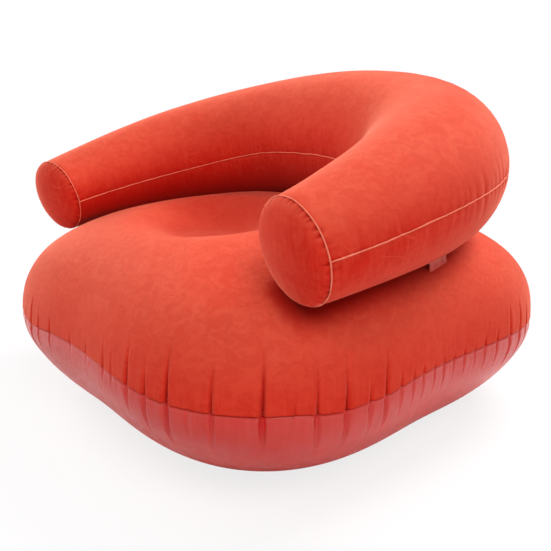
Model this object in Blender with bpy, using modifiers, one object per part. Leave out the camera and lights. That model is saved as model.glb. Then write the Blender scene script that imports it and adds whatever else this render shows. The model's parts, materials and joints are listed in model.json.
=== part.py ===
"""Inflatable armchair: a gathered pillow seat with a horseshoe tube on it for the back and arms.

Metres, +Z up. The chair faces -Y and the sitter's left arm is at +X. The origin is on the floor,
under the middle of the seat. Every panel is a thin vinyl sheet with a weld lip along its edges.
"""

import math

import bmesh
import bpy
from mathutils import Matrix, Vector
from mathutils.bvhtree import BVHTree

# Sheets, welds and clearances
FLOCKED_SHEET = 0.0008
PLAIN_SHEET = 0.0006
WELD_LIP = 0.0035
WELD_GAP = 0.0003
TUBE_REST_GAP = 0.0009
CUT_OVERRUN = 0.010
MERGE_DISTANCE = 0.00002

# Seat chamber, with the outline as it would be before its sides draw in
SEAT_WIDTH = 1.040
SEAT_DEPTH = 1.018
SEAT_CROWN_HEIGHT = 0.428
CROWN_SET_BACK = 0.012
WAIST_HEIGHT = 0.186
SEAM_RISE = 0.014
SEAM_CORNER_DIP = 0.008
FLOOR_PATCH_WIDTH_SHARE = 0.632
WAIST_OUTLINE_POWER = 2.9
FLOOR_OUTLINE_POWER = 2.74
CROWN_OUTLINE_POWER = 2.0
CROWN_PROFILE_POWER = 2.5
BELLY_PROFILE_POWER = 1.675
WAIST_DRAWN_IN_SHARE = 0.058
FLOOR_DRAWN_IN_SHARE = 0.042

# Gathers where the two seat panels are welded, one valley and one crest each
GATHER_COUNT = 36
GATHER_DEPTH = 0.007
GATHER_LENGTH_ABOVE = 0.130
GATHER_LENGTH_BELOW = 0.085

# Dimple and the tie that pulls it down, forward of the seat's middle, where the sitter sits
DIMPLE_FORWARD = 0.165
DIMPLE_DEPTH = 0.056
DIMPLE_RADIUS = 0.205
TIE_DISC_RADIUS = 0.048
TIE_COLUMN_RADIUS = 0.032
TIE_FOOT_RADIUS = 0.044
TIE_FLARE_HEIGHT = 0.020
TIE_FLARE_KNEE_SHARE = 0.25
TIE_VENT_RADIUS = 0.006
TIE_VENT_COUNT = 3

# Horseshoe tube: its centre line, set in from the seat's sides and up or down from its crown
ARM_INSET = 0.101
ARM_END_TOE_IN = 0.007
ARM_END_SETBACK = 0.195
ARM_STRAIGHT_LENGTH = 0.088
BACK_INSET = 0.267
BACK_BEND_POWER = 2.485
ARM_END_RADIUS = 0.083
BACK_RADIUS = 0.166
ARM_END_SINK = 0.008
BACK_RISE = 0.112
RADIUS_GROWTH_POWER = 1.12
OUTER_SEAM_ANGLE = math.radians(1.0)
INNER_SEAM_ANGLE = math.radians(186.0)
END_CAP_BULGE = 0.0255

# Webs that join the tube to the seat, placed along the half tube from the arm end to the back
SIDE_WEB_START_SHARE = 0.32
SIDE_WEB_END_SHARE = 0.425
REAR_WEB_HALF_LENGTH = 0.062
WEB_HEIGHT = 0.029
WEB_REACH = 0.012

# Two-stage inflation valve, heights taken from the outer face of the sheet that it is welded in
VALVE_FLANGE_RADIUS = 0.0265
VALVE_FLANGE_THICKNESS = 0.0012
VALVE_NECK_RADIUS = 0.0190
VALVE_BORE_RADIUS = 0.0160
VALVE_NECK_HEIGHT = 0.0060
VALVE_RIM_ROUNDING = 0.0008
INSERT_FLANGE_RADIUS = 0.0185
INSERT_FLANGE_THICKNESS = 0.0018
INSERT_PLUG_DEPTH = 0.0100
INSERT_BORE_RADIUS = 0.0085
PLUG_CLEARANCE = 0.0002
INSERT_PLUG_TAPER = 0.0024
CAP_FLANGE_RADIUS = 0.0115
CAP_FLANGE_THICKNESS = 0.0016
CAP_PLUG_DEPTH = 0.0060
CAP_PLUG_WALL = 0.0014
CAP_PLUG_TAPER = 0.0012
FLAP_RADIUS = 0.0105
FLAP_THICKNESS = 0.0008
STRAP_WIDTH = 0.0070
STRAP_THICKNESS = 0.0012
KNUCKLE_RADIUS = 0.0009
KNUCKLE_GAP = 0.0004
LUG_THICKNESS = 0.0022
LUG_SETBACK = 0.0005
TETHER_RING_WALL = 0.0022
TETHER_RING_THICKNESS = 0.0016
VALVE_SEAT_MARGIN = 0.0060
SEAT_VALVE_DROP = 0.122
TUBE_VALVE_ANGLE = math.radians(-32.0)

# Places that follow from the sizes above
SEAM_HEIGHT = WAIST_HEIGHT + SEAM_RISE
ARM_OFFSET = SEAT_WIDTH / 2.0 - ARM_INSET
ARM_END_OFFSET = ARM_OFFSET - ARM_END_TOE_IN
ARM_END_FORWARD = SEAT_DEPTH / 2.0 - ARM_END_SETBACK
BEND_START_FORWARD = ARM_END_FORWARD - ARM_STRAIGHT_LENGTH
BACK_BEND_REACH = BEND_START_FORWARD + SEAT_DEPTH / 2.0 - BACK_INSET
ARM_END_HEIGHT = SEAT_CROWN_HEIGHT - ARM_END_SINK
BACK_HEIGHT = SEAT_CROWN_HEIGHT + BACK_RISE
VALVE_CELL_HALF = VALVE_FLANGE_RADIUS + VALVE_SEAT_MARGIN

# Mesh fineness
SEAT_COARSE_COUNT = GATHER_COUNT
SEAT_FINE_COUNT = 2 * GATHER_COUNT
GATHER_ROW_COUNT = 2
CROWN_ROW_COUNT = 4
DIMPLE_ROW_COUNT = 5
FLOOR_ROW_COUNT = 2
TUBE_HALF_CELL_COUNT = 18
TUBE_UPPER_CELL_COUNT = 8
TUBE_LOWER_CELL_COUNT = 5
CAP_ARC_COUNT = 6
WEB_STEP_COUNT = 10
TURN_COUNT = 28
FOLD_SIDE_COUNT = 10
VENT_SIDE_COUNT = 12
PROFILE_SAMPLE_COUNT = 400
SHARP_ANGLE = math.radians(50.0)

# Search steps
BISECTION_COUNT = 40
PRESS_PASS_COUNT = 60
PRESS_SAMPLE_COUNT = 4
CAP_SAMPLE_STEP = math.radians(10.0)
CAP_SAMPLE_COUNT = 9

# Finishes
FLOCK_RED = (0.72, 0.075, 0.035, 1.0)
VINYL_RED = (0.50, 0.085, 0.070, 1.0)
CLEAR_VINYL = (0.55, 0.30, 0.28, 1.0)
VALVE_RED = (0.42, 0.060, 0.050, 1.0)
RUBBER_GREY = (0.30, 0.28, 0.27, 1.0)
FLOCK_ROUGHNESS = 0.9
VINYL_ROUGHNESS = 0.35
RUBBER_ROUGHNESS = 0.6


def clear_scene():
    for item in list(bpy.data.objects):
        bpy.data.objects.remove(item, do_unlink=True)


def new_collection(name):
    group = bpy.data.collections.new(name)
    bpy.context.scene.collection.children.link(group)
    return group


def paint(item, colour, roughness):
    material = bpy.data.materials.new(item.name + "_finish")
    material.use_nodes = True
    shader = material.node_tree.nodes["Principled BSDF"]
    shader.inputs["Base Color"].default_value = colour
    shader.inputs["Roughness"].default_value = roughness
    shader.inputs["Metallic"].default_value = 0.0
    item.data.materials.clear()
    item.data.materials.append(material)


def blend(low, high, share):
    return low + (high - low) * share


def ease(share):
    """Smooth step from 0 to 1."""
    held = min(max(share, 0.0), 1.0)
    return held * held * (3.0 - 2.0 * held)


def object_from_bmesh(name, shape, group):
    mesh = bpy.data.meshes.new(name)
    shape.normal_update()
    shape.to_mesh(mesh)
    shape.free()
    mesh.shade_smooth()
    mesh.set_sharp_from_angle(angle=SHARP_ANGLE)
    item = bpy.data.objects.new(name, mesh)
    group.objects.link(item)
    return item


def add_thickness(item, thickness, outward_share=0.0):
    """Give a sheet its thickness, inwards from the modelled outer face apart from outward_share of it."""
    solidify = item.modifiers.new("thickness", "SOLIDIFY")
    solidify.thickness = thickness
    solidify.offset = 2.0 * outward_share - 1.0
    solidify.use_even_offset = True
    return solidify


def cut(item, cutter):
    boolean = item.modifiers.new("cut_" + cutter.name, "BOOLEAN")
    boolean.operation = "DIFFERENCE"
    boolean.solver = "EXACT"
    boolean.object = cutter


def join(item, addition):
    boolean = item.modifiers.new("join_" + addition.name, "BOOLEAN")
    boolean.operation = "UNION"
    boolean.solver = "EXACT"
    boolean.object = addition


def as_cutter(item):
    item.hide_render = True
    item.display_type = "WIRE"


# Seat chamber


def seat_profile_sample(radius_share, height, power, drawn_in, gather_length):
    return {
        "radius": radius_share,
        "height": height,
        "power": power,
        "drawn": drawn_in,
        "gather": gather_length,
    }


def seam_turn():
    """Turn of the upper profile's superellipse at the seam, from the waist."""
    seam_share = SEAM_RISE / (SEAT_CROWN_HEIGHT - WAIST_HEIGHT)
    return math.asin(seam_share ** (CROWN_PROFILE_POWER / 2.0))


def crown_profile():
    """Samples of the upper profile from the seam to the crown."""
    rise = SEAT_CROWN_HEIGHT - WAIST_HEIGHT
    samples = []
    for index in range(PROFILE_SAMPLE_COUNT + 1):
        turn = blend(seam_turn(), math.pi / 2.0, index / PROFILE_SAMPLE_COUNT)
        radius = max(math.cos(turn), 0.0) ** (2.0 / CROWN_PROFILE_POWER)
        height = WAIST_HEIGHT + rise * math.sin(turn) ** (2.0 / CROWN_PROFILE_POWER)
        power = blend(CROWN_OUTLINE_POWER, WAIST_OUTLINE_POWER, radius)
        drawn = WAIST_DRAWN_IN_SHARE * radius
        samples.append(seat_profile_sample(radius, height, power, drawn, GATHER_LENGTH_ABOVE))
    return samples


def belly_profile():
    """Samples of the lower profile from the seam over the waist to the edge of the floor patch."""
    seam_radius = math.cos(seam_turn()) ** (2.0 / CROWN_PROFILE_POWER)
    gather = GATHER_LENGTH_BELOW
    seam = seat_profile_sample(seam_radius, SEAM_HEIGHT, WAIST_OUTLINE_POWER, WAIST_DRAWN_IN_SHARE, gather)
    samples = [seam]
    for index in range(PROFILE_SAMPLE_COUNT + 1):
        turn = math.pi / 2.0 * index / PROFILE_SAMPLE_COUNT
        share = max(math.cos(turn), 0.0) ** (2.0 / BELLY_PROFILE_POWER)
        radius = blend(FLOOR_PATCH_WIDTH_SHARE, 1.0, share)
        height = WAIST_HEIGHT * (1.0 - math.sin(turn) ** (2.0 / BELLY_PROFILE_POWER))
        power = blend(FLOOR_OUTLINE_POWER, WAIST_OUTLINE_POWER, share)
        drawn = blend(FLOOR_DRAWN_IN_SHARE, WAIST_DRAWN_IN_SHARE, share)
        samples.append(seat_profile_sample(radius, height, power, drawn, gather))
    return samples


def profile_lengths(samples):
    """Length along the profile from its first sample, at the seat's mean half width."""
    half_width = (SEAT_WIDTH + SEAT_DEPTH) / 4.0
    lengths = [0.0]
    for before, after in zip(samples, samples[1:]):
        across = (after["radius"] - before["radius"]) * half_width
        up = after["height"] - before["height"]
        lengths.append(lengths[-1] + math.hypot(across, up))
    return lengths


def profile_at(samples, distance):
    """The profile's values at a distance along it, with that distance."""
    lengths = profile_lengths(samples)
    held = min(max(distance, 0.0), lengths[-1])
    index = 1
    while index < len(lengths) - 1 and lengths[index] < held:
        index += 1
    span = lengths[index] - lengths[index - 1]
    share = (held - lengths[index - 1]) / span if span > 0.0 else 0.0
    row = {}
    for key in samples[0]:
        row[key] = blend(samples[index - 1][key], samples[index][key], share)
    row["distance"] = held
    return row


def seam_nearness(row):
    """1 at the weld seam, falling to 0 where the gathers run out."""
    return max(1.0 - row["distance"] / row["gather"], 0.0)


def seat_outline(power, drawn_in, angle):
    """Reach of the seat's outline at an angle, as a share of its half width or half depth."""
    reach = (abs(math.cos(angle)) ** power + abs(math.sin(angle)) ** power) ** (-1.0 / power)
    return reach * (1.0 - drawn_in * math.cos(2.0 * angle) ** 2)


def set_back(height):
    """How far the seat's outline at a height above the waist lies behind the waist's."""
    rise = max(height - WAIST_HEIGHT, 0.0)
    return CROWN_SET_BACK * rise / (SEAT_CROWN_HEIGHT - WAIST_HEIGHT)


def seat_point(row, angle, lip=0.0, lift=0.0):
    """A point of the seat's outer face, or on its weld lip, lifted off the seam plane."""
    outline = seat_outline(row["power"], row["drawn"], angle)
    nearness = seam_nearness(row)
    valley = (1.0 + math.cos(GATHER_COUNT * angle)) / 2.0
    pull = lip - GATHER_DEPTH * valley * nearness ** 2
    x = outline * row["radius"] * SEAT_WIDTH / 2.0 + pull
    y = outline * row["radius"] * SEAT_DEPTH / 2.0 + pull
    dip = SEAM_CORNER_DIP * math.sin(2.0 * angle) ** 2 * nearness
    height = row["height"]
    return Vector((x * math.cos(angle), y * math.sin(angle) + set_back(height), height - dip + lift))


def crown_height(x, y):
    """Height of the seat's plain form at a place in plan, before the dimple and the tube press it down."""
    low, high = 0.0, 1.0
    for _ in range(BISECTION_COUNT):
        share = (low + high) / 2.0
        rise = (1.0 - share ** CROWN_PROFILE_POWER) ** (1.0 / CROWN_PROFILE_POWER)
        height = blend(WAIST_HEIGHT, SEAT_CROWN_HEIGHT, rise)
        from_middle = y - set_back(height)
        angle = math.atan2(from_middle / SEAT_DEPTH, x / SEAT_WIDTH)
        power = blend(CROWN_OUTLINE_POWER, WAIST_OUTLINE_POWER, share)
        reach = share * seat_outline(power, WAIST_DRAWN_IN_SHARE * share, angle)
        reach *= math.hypot(SEAT_WIDTH * math.cos(angle), SEAT_DEPTH * math.sin(angle)) / 2.0
        if reach < math.hypot(x, from_middle):
            low = share
        else:
            high = share
    return height


def dimple_floor():
    """Height of the flat that the tie holds down."""
    return crown_height(0.0, -DIMPLE_FORWARD) - DIMPLE_DEPTH


def dimpled_height(x, y):
    away = math.hypot(x, y + DIMPLE_FORWARD)
    outwards = ease((away - TIE_DISC_RADIUS) / (DIMPLE_RADIUS - TIE_DISC_RADIUS))
    return blend(dimple_floor(), crown_height(x, y), outwards)


def ring_angles(count):
    step = 2.0 * math.pi / count
    first = 0.0 if count == SEAT_FINE_COUNT else step / 2.0
    return [first + step * index for index in range(count)]


def ring_of(row, count, lip=0.0, lift=0.0):
    return [seat_point(row, angle, lip, lift) for angle in ring_angles(count)]


def bridge_rings(shape, outer, inner, upward):
    """Faces between two rings, of which the outer may have twice as many points as the inner."""
    count = len(outer)

    def face(corners):
        shape.faces.new(corners if upward else corners[::-1])

    if len(inner) == count:
        for index in range(count):
            after = (index + 1) % count
            face([outer[index], outer[after], inner[after], inner[index]])
        return
    for index in range(len(inner)):
        near = inner[index]
        ahead = inner[(index + 1) % len(inner)]
        middle = 2 * index + 1
        first = outer[middle]
        second = outer[(middle + 1) % count]
        third = outer[(middle + 2) % count]
        face([first, second, near])
        face([second, ahead, near])
        face([second, third, ahead])


def close_ring(shape, ring, upward):
    centre = Vector((0.0, 0.0, 0.0))
    for vertex in ring:
        centre += vertex.co / len(ring)
    middle = shape.verts.new(centre)
    for index, vertex in enumerate(ring):
        after = ring[(index + 1) % len(ring)]
        shape.faces.new([vertex, after, middle] if upward else [after, vertex, middle])


def seat_surface(rings, upward):
    """The outer face of a seat panel, from its weld lip to its middle, as a bmesh."""
    shape = bmesh.new()
    loops = [[shape.verts.new(point) for point in ring] for ring in rings]
    for outer, inner in zip(loops, loops[1:]):
        bridge_rings(shape, outer, inner, upward)
    close_ring(shape, loops[-1], upward)
    return shape


def spread(start, end, count):
    return [blend(start, end, (index + 1) / count) for index in range(count)]


def gathered_rings(samples, lift):
    """The weld lip, the seam and the rows over which the gathers run out."""
    rings = [ring_of(profile_at(samples, 0.0), SEAT_FINE_COUNT, WELD_LIP, lift)]
    row_gap = samples[0]["gather"] / (GATHER_ROW_COUNT + 1)
    for index in range(GATHER_ROW_COUNT + 1):
        row = profile_at(samples, row_gap * index)
        rings.append(ring_of(row, SEAT_FINE_COUNT, 0.0, lift * seam_nearness(row)))
    return rings


def crown_rings():
    """Rings of the top panel, which pass from the seat's outline to the circle of the tie's disc."""
    samples = crown_profile()
    rings = gathered_rings(samples, FLOCKED_SHEET + WELD_GAP / 2.0)
    edge = ring_of(profile_at(samples, GATHER_LENGTH_ABOVE), SEAT_COARSE_COUNT)
    rings.append(edge)
    disc = []
    for angle in ring_angles(SEAT_COARSE_COUNT):
        x = TIE_DISC_RADIUS * math.cos(angle)
        y = TIE_DISC_RADIUS * math.sin(angle) - DIMPLE_FORWARD
        disc.append(Vector((x, y, 0.0)))
    mean_reach = sum(math.hypot(point.x, point.y) for point in edge) / len(edge)
    rim_share = (DIMPLE_RADIUS - TIE_DISC_RADIUS) / (mean_reach - TIE_DISC_RADIUS)
    for share in spread(1.0, rim_share, CROWN_ROW_COUNT) + spread(rim_share, 0.0, DIMPLE_ROW_COUNT):
        ring = []
        for near, far in zip(disc, edge):
            point = near.lerp(far, share)
            point.z = dimpled_height(point.x, point.y)
            ring.append(point)
        rings.append(ring)
    return rings


def seat_valve_rows():
    """Rows of the bottom panel just above and just below the valve's flange."""
    samples = belly_profile()
    upper = profile_at(samples, SEAT_VALVE_DROP - VALVE_CELL_HALF)
    lower = profile_at(samples, SEAT_VALVE_DROP + VALVE_CELL_HALF)
    return upper, lower


def belly_rings():
    samples = belly_profile()
    upper, lower = seat_valve_rows()
    rings = gathered_rings(samples, -(PLAIN_SHEET + WELD_GAP / 2.0))
    rows = [profile_at(samples, GATHER_LENGTH_BELOW), upper, lower]
    for distance in spread(lower["distance"], profile_lengths(samples)[-1], FLOOR_ROW_COUNT):
        rows.append(profile_at(samples, distance))
    for row in rows:
        rings.append(ring_of(row, SEAT_COARSE_COUNT))
    return rings


# Horseshoe tube


def tube_half_line():
    """Points of the left half of the centre line in plan, from the arm end to the back, with lengths."""
    points = []
    for index in range(PROFILE_SAMPLE_COUNT):
        share = 1.0 - index / PROFILE_SAMPLE_COUNT
        x = ARM_OFFSET + (ARM_END_OFFSET - ARM_OFFSET) * share ** 2
        y = -blend(BEND_START_FORWARD, ARM_END_FORWARD, share)
        points.append(Vector((x, y)))
    for index in range(PROFILE_SAMPLE_COUNT + 1):
        turn = math.pi / 2.0 * index / PROFILE_SAMPLE_COUNT
        x = ARM_OFFSET * max(math.cos(turn), 0.0) ** (2.0 / BACK_BEND_POWER)
        y = -BEND_START_FORWARD + BACK_BEND_REACH * math.sin(turn) ** (2.0 / BACK_BEND_POWER)
        points.append(Vector((x, y)))
    lengths = [0.0]
    for before, after in zip(points, points[1:]):
        lengths.append(lengths[-1] + (after - before).length)
    return points, lengths


TUBE_POINTS, TUBE_LENGTHS = tube_half_line()
TUBE_HALF_LENGTH = TUBE_LENGTHS[-1]


def tube_station(along):
    """Centre, directions and radius at a signed length from the back's middle.

    The ring of each station stands square to the centre line, which climbs from the arm ends to the back.
    """
    side = -1.0 if along < 0.0 else 1.0
    from_end = min(max(TUBE_HALF_LENGTH - abs(along), 0.0), TUBE_HALF_LENGTH)
    index = 1
    while index < len(TUBE_LENGTHS) - 1 and TUBE_LENGTHS[index] < from_end:
        index += 1
    before = TUBE_POINTS[index - 1]
    after = TUBE_POINTS[index]
    share = (from_end - TUBE_LENGTHS[index - 1]) / (TUBE_LENGTHS[index] - TUBE_LENGTHS[index - 1])
    place = before.lerp(after, share)
    forward = (before - after).normalized()
    outward = Vector((-forward.y, forward.x))
    climb = math.pi / 2.0 * from_end / TUBE_HALF_LENGTH
    growth = math.sin(climb)
    radius = blend(ARM_END_RADIUS, BACK_RADIUS, growth ** RADIUS_GROWTH_POWER)
    slope = (BACK_HEIGHT - ARM_END_HEIGHT) * math.pi / 2.0 / TUBE_HALF_LENGTH * math.cos(climb)
    ahead = Vector((side * forward.x, forward.y, -slope)).normalized()
    sideways = Vector((side * outward.x, outward.y, 0.0))
    return {
        "centre": Vector((side * place.x, place.y, blend(ARM_END_HEIGHT, BACK_HEIGHT, growth))),
        "outward": sideways,
        "forward": ahead,
        "up": side * ahead.cross(sideways),
        "radius": radius,
    }


def tube_point(station, angle, lip=0.0):
    radius = station["radius"] + lip
    away = math.cos(angle) * station["outward"] + math.sin(angle) * station["up"]
    return station["centre"] + radius * away


def tube_stations():
    """Signed lengths of the stations, with one cell in the middle of the back that holds the valve."""
    one_side = [VALVE_CELL_HALF]
    one_side += spread(VALVE_CELL_HALF, TUBE_HALF_LENGTH, TUBE_HALF_CELL_COUNT)
    return [-length for length in reversed(one_side)] + one_side


def spaced_angles(start, end, count):
    return [start] + spread(start, end, count)


def upper_angles():
    return spaced_angles(OUTER_SEAM_ANGLE, INNER_SEAM_ANGLE, TUBE_UPPER_CELL_COUNT)


def tube_valve_angles():
    half_cell = math.asin(VALVE_CELL_HALF / BACK_RADIUS)
    return TUBE_VALVE_ANGLE - half_cell, TUBE_VALVE_ANGLE + half_cell


def lower_angles():
    """Angles from the inner seam down and out to the outer seam, with one cell that holds the valve."""
    below, above = tube_valve_angles()
    inner_seam = INNER_SEAM_ANGLE - 2.0 * math.pi
    return spaced_angles(inner_seam, below, TUBE_LOWER_CELL_COUNT) + [above, OUTER_SEAM_ANGLE]


def tube_surface(angles):
    """The outer face of a tube panel with weld lips on its four sides, as a bmesh."""
    shape = bmesh.new()
    seam_offset = FLOCKED_SHEET + WELD_GAP / 2.0
    grid = []
    for along in tube_stations():
        station = tube_station(along)
        shift = seam_offset / station["radius"]
        column_angles = list(angles)
        column_angles[0] += shift
        column_angles[-1] -= shift
        column = [shape.verts.new(tube_point(station, column_angles[0], WELD_LIP))]
        for angle in column_angles:
            column.append(shape.verts.new(tube_point(station, angle)))
        column.append(shape.verts.new(tube_point(station, column_angles[-1], WELD_LIP)))
        grid.append(column)
    for before, after in zip(grid, grid[1:]):
        for index in range(len(before) - 1):
            shape.faces.new([before[index], before[index + 1], after[index + 1], after[index]])
    for end_index, flip in ((0, True), (-1, False)):
        column = grid[end_index]
        station = tube_station(tube_stations()[end_index])
        rim = [column[0]]
        for vertex in column[2:-2]:
            away = (vertex.co - station["centre"]).normalized()
            rim.append(shape.verts.new(vertex.co + away * WELD_LIP))
        rim.append(column[-1])
        wall = column[1:-1]
        for index in range(len(wall) - 1):
            corners = [wall[index], wall[index + 1], rim[index + 1], rim[index]]
            shape.faces.new(corners[::-1] if flip else corners)
    return shape


def build_tube_panel(name, angles, group):
    item = object_from_bmesh(name, tube_surface(angles), group)
    add_thickness(item, FLOCKED_SHEET)
    paint(item, FLOCK_RED, FLOCK_ROUGHNESS)
    return item


# Pressing the seat under the tube


def sample_triangles(shape):
    """Points spread over the triangles of a bmesh."""
    points = []
    for triangle in shape.calc_loop_triangles():
        first, second, third = [loop.vert.co for loop in triangle]
        for i in range(PRESS_SAMPLE_COUNT + 1):
            for j in range(PRESS_SAMPLE_COUNT + 1 - i):
                along = (second - first) * i + (third - first) * j
                points.append(first + along / PRESS_SAMPLE_COUNT)
    return points


def end_cap_points(side):
    """Points over the lower half of an end cap's dome."""
    station = tube_station(side * TUBE_HALF_LENGTH)
    points = []
    for turn in range(-CAP_SAMPLE_COUNT, CAP_SAMPLE_COUNT + 1):
        away = tube_point(station, CAP_SAMPLE_STEP * turn - math.pi / 2.0) - station["centre"]
        for rise in range(1, CAP_SAMPLE_COUNT + 1):
            lean = CAP_SAMPLE_STEP * rise
            reach = station["forward"] * END_CAP_BULGE * math.sin(lean)
            points.append(station["centre"] + away * math.cos(lean) + reach)
    return points


def tube_underside_points():
    shape = tube_surface(lower_angles())
    bmesh.ops.triangulate(shape, faces=shape.faces[:])
    points = [point for point in sample_triangles(shape) if point.z < SEAT_CROWN_HEIGHT]
    shape.free()
    return points + end_cap_points(-1.0) + end_cap_points(1.0)


def drop_ray(tree, point):
    """Where a vertical line through a point meets a surface from above, with the face's index."""
    above = Vector((point.x, point.y, point.z + SEAT_CROWN_HEIGHT))
    hit, _normal, index, _distance = tree.ray_cast(above, Vector((0.0, 0.0, -1.0)))
    return hit, index


def press_under(shape, points, gap):
    """Lower the points of a surface until every given point has at least the gap above it."""
    for _ in range(PRESS_PASS_COUNT):
        shape.verts.ensure_lookup_table()
        tree = BVHTree.FromBMesh(shape)
        faces = list(shape.faces)
        lowered = {}
        for point in points:
            hit, index = drop_ray(tree, point)
            if hit is None:
                continue
            lack = gap - (point.z - hit.z)
            if lack <= 0.0:
                continue
            corners = faces[index].verts
            weights = barycentric(hit, [corner.co for corner in corners])
            scale = lack / sum(weight * weight for weight in weights)
            for corner, weight in zip(corners, weights):
                lowered[corner] = max(lowered.get(corner, 0.0), scale * max(weight, 0.0))
        if not lowered:
            return
        for corner, amount in lowered.items():
            corner.co.z -= amount


def barycentric(point, corners):
    first, second, third = [Vector((corner.x, corner.y)) for corner in corners]
    place = Vector((point.x, point.y))
    area = (second - first).cross(third - first)
    weight_two = (place - first).cross(third - first) / area
    weight_three = (second - first).cross(place - first) / area
    return [1.0 - weight_two - weight_three, weight_two, weight_three]


def build_seat_top(group):
    shape = seat_surface(crown_rings(), True)
    bmesh.ops.triangulate(shape, faces=shape.faces[:], quad_method="SHORT_EDGE")
    press_under(shape, tube_underside_points(), TUBE_REST_GAP)
    item = object_from_bmesh("seat_top_panel", shape, group)
    add_thickness(item, FLOCKED_SHEET)
    paint(item, FLOCK_RED, FLOCK_ROUGHNESS)
    return item


def build_seat_bottom(group):
    item = object_from_bmesh("seat_bottom_panel", seat_surface(belly_rings(), False), group)
    add_thickness(item, PLAIN_SHEET)
    paint(item, VINYL_RED, VINYL_ROUGHNESS)
    return item


# Turned pieces


def turned(name, profile, group, closed):
    """Revolve a profile of (radius, height) points, listed down its outer side, about local Z."""
    mesh = bpy.data.meshes.new(name)
    points = [(radius, 0.0, height) for radius, height in profile]
    edges = [(index, index + 1) for index in range(len(points) - 1)]
    if closed:
        edges.append((len(points) - 1, 0))
    mesh.from_pydata(points, edges, [])
    item = bpy.data.objects.new(name, mesh)
    group.objects.link(item)
    screw = item.modifiers.new("turn", "SCREW")
    screw.axis = "Z"
    screw.steps = TURN_COUNT
    screw.render_steps = TURN_COUNT
    screw.use_merge_vertices = True
    screw.merge_threshold = MERGE_DISTANCE
    screw.use_smooth_shade = False
    return item


def build_end_cap(name, side, group):
    station = tube_station(side * TUBE_HALF_LENGTH)
    base = 2.0 * FLOCKED_SHEET + WELD_GAP
    profile = []
    for index in range(CAP_ARC_COUNT + 1):
        lean = math.pi / 2.0 * index / CAP_ARC_COUNT
        radius = station["radius"] * math.sin(lean)
        profile.append((radius, base + END_CAP_BULGE * math.cos(lean)))
    profile.append((station["radius"] + WELD_LIP, base))
    cap = turned(name, profile, group, False)
    add_thickness(cap, FLOCKED_SHEET)
    cap.location = station["centre"]
    cap.rotation_euler = station["forward"].to_track_quat("Z", "Y").to_euler()
    paint(cap, FLOCK_RED, FLOCK_ROUGHNESS)
    return cap


# Tie inside the seat


def tie_disc(name, low, group):
    profile = [(0.0, PLAIN_SHEET), (TIE_DISC_RADIUS, PLAIN_SHEET), (TIE_DISC_RADIUS, 0.0), (0.0, 0.0)]
    disc = turned(name, profile, group, False)
    disc.location = (0.0, -DIMPLE_FORWARD, low)
    paint(disc, CLEAR_VINYL, VINYL_ROUGHNESS)


def flare(foot_radius, throat_radius, foot_height, rise):
    """Foot, knee and throat of the column's flared end, from the end inwards."""
    knee_radius = blend(throat_radius, foot_radius, TIE_FLARE_KNEE_SHARE)
    return [
        (foot_radius, foot_height),
        (knee_radius, foot_height + rise * TIE_FLARE_KNEE_SHARE),
        (throat_radius, foot_height + rise),
    ]


def build_tie(group, cutters):
    """The sleeve and the two discs that weld its ends to the panels."""
    low = PLAIN_SHEET + WELD_GAP
    high = dimple_floor() - FLOCKED_SHEET - WELD_GAP
    tie_disc("tie_bottom_disc", low, group)
    tie_disc("tie_top_disc", high - PLAIN_SHEET, group)
    base = low + PLAIN_SHEET + WELD_GAP
    top = high - PLAIN_SHEET - WELD_GAP
    throat = TIE_COLUMN_RADIUS
    bore = TIE_COLUMN_RADIUS - PLAIN_SHEET
    profile = [(TIE_FOOT_RADIUS, top)]
    profile += flare(TIE_FOOT_RADIUS, throat, top - PLAIN_SHEET, -TIE_FLARE_HEIGHT)
    profile += flare(TIE_FOOT_RADIUS, throat, base + PLAIN_SHEET, TIE_FLARE_HEIGHT)[::-1]
    profile += [(TIE_FOOT_RADIUS, base)]
    profile += flare(TIE_FOOT_RADIUS - PLAIN_SHEET, bore, base, TIE_FLARE_HEIGHT)[1:]
    profile += flare(TIE_FOOT_RADIUS - PLAIN_SHEET, bore, top, -TIE_FLARE_HEIGHT)[:0:-1]
    column = turned("tie_column", profile, group, True)
    column.location.y = -DIMPLE_FORWARD
    paint(column, CLEAR_VINYL, VINYL_ROUGHNESS)
    for index in range(TIE_VENT_COUNT):
        turn = 2.0 * math.pi * (index + 0.5) / TIE_VENT_COUNT
        away = Vector((math.cos(turn), math.sin(turn), 0.0))
        cut(column, tie_vent(f"tie_vent_cutter_{index + 1}", away, (low + high) / 2.0, cutters))


def tie_vent(name, away, height, group):
    bpy.ops.mesh.primitive_cylinder_add(
        vertices=VENT_SIDE_COUNT, radius=TIE_VENT_RADIUS, depth=2.0 * TIE_COLUMN_RADIUS
    )
    vent = bpy.context.object
    vent.name = name
    move_to_group(vent, group)
    vent.rotation_euler = away.to_track_quat("Z", "Y").to_euler()
    vent.location = away * TIE_COLUMN_RADIUS + Vector((0.0, -DIMPLE_FORWARD, height))
    as_cutter(vent)
    return vent


def move_to_group(item, group):
    for owner in list(item.users_collection):
        owner.objects.unlink(item)
    group.objects.link(item)


# Webs between the tube and the seat


def web_ends(tree, station):
    """Lower and upper end of a web where the gap outside the tube's rest has opened to the web's height."""
    near, far = -math.pi / 2.0, 0.0
    for _ in range(BISECTION_COUNT):
        middle = (near + far) / 2.0
        point = tube_point(station, middle)
        hit, _index = drop_ray(tree, point)
        if hit is not None and point.z - hit.z < WEB_HEIGHT:
            near = middle
        else:
            far = middle
    top = tube_point(station, near, -WEB_REACH)
    hit, _index = drop_ray(tree, top)
    return Vector((top.x, top.y, hit.z - WEB_REACH / 2.0)), top


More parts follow.
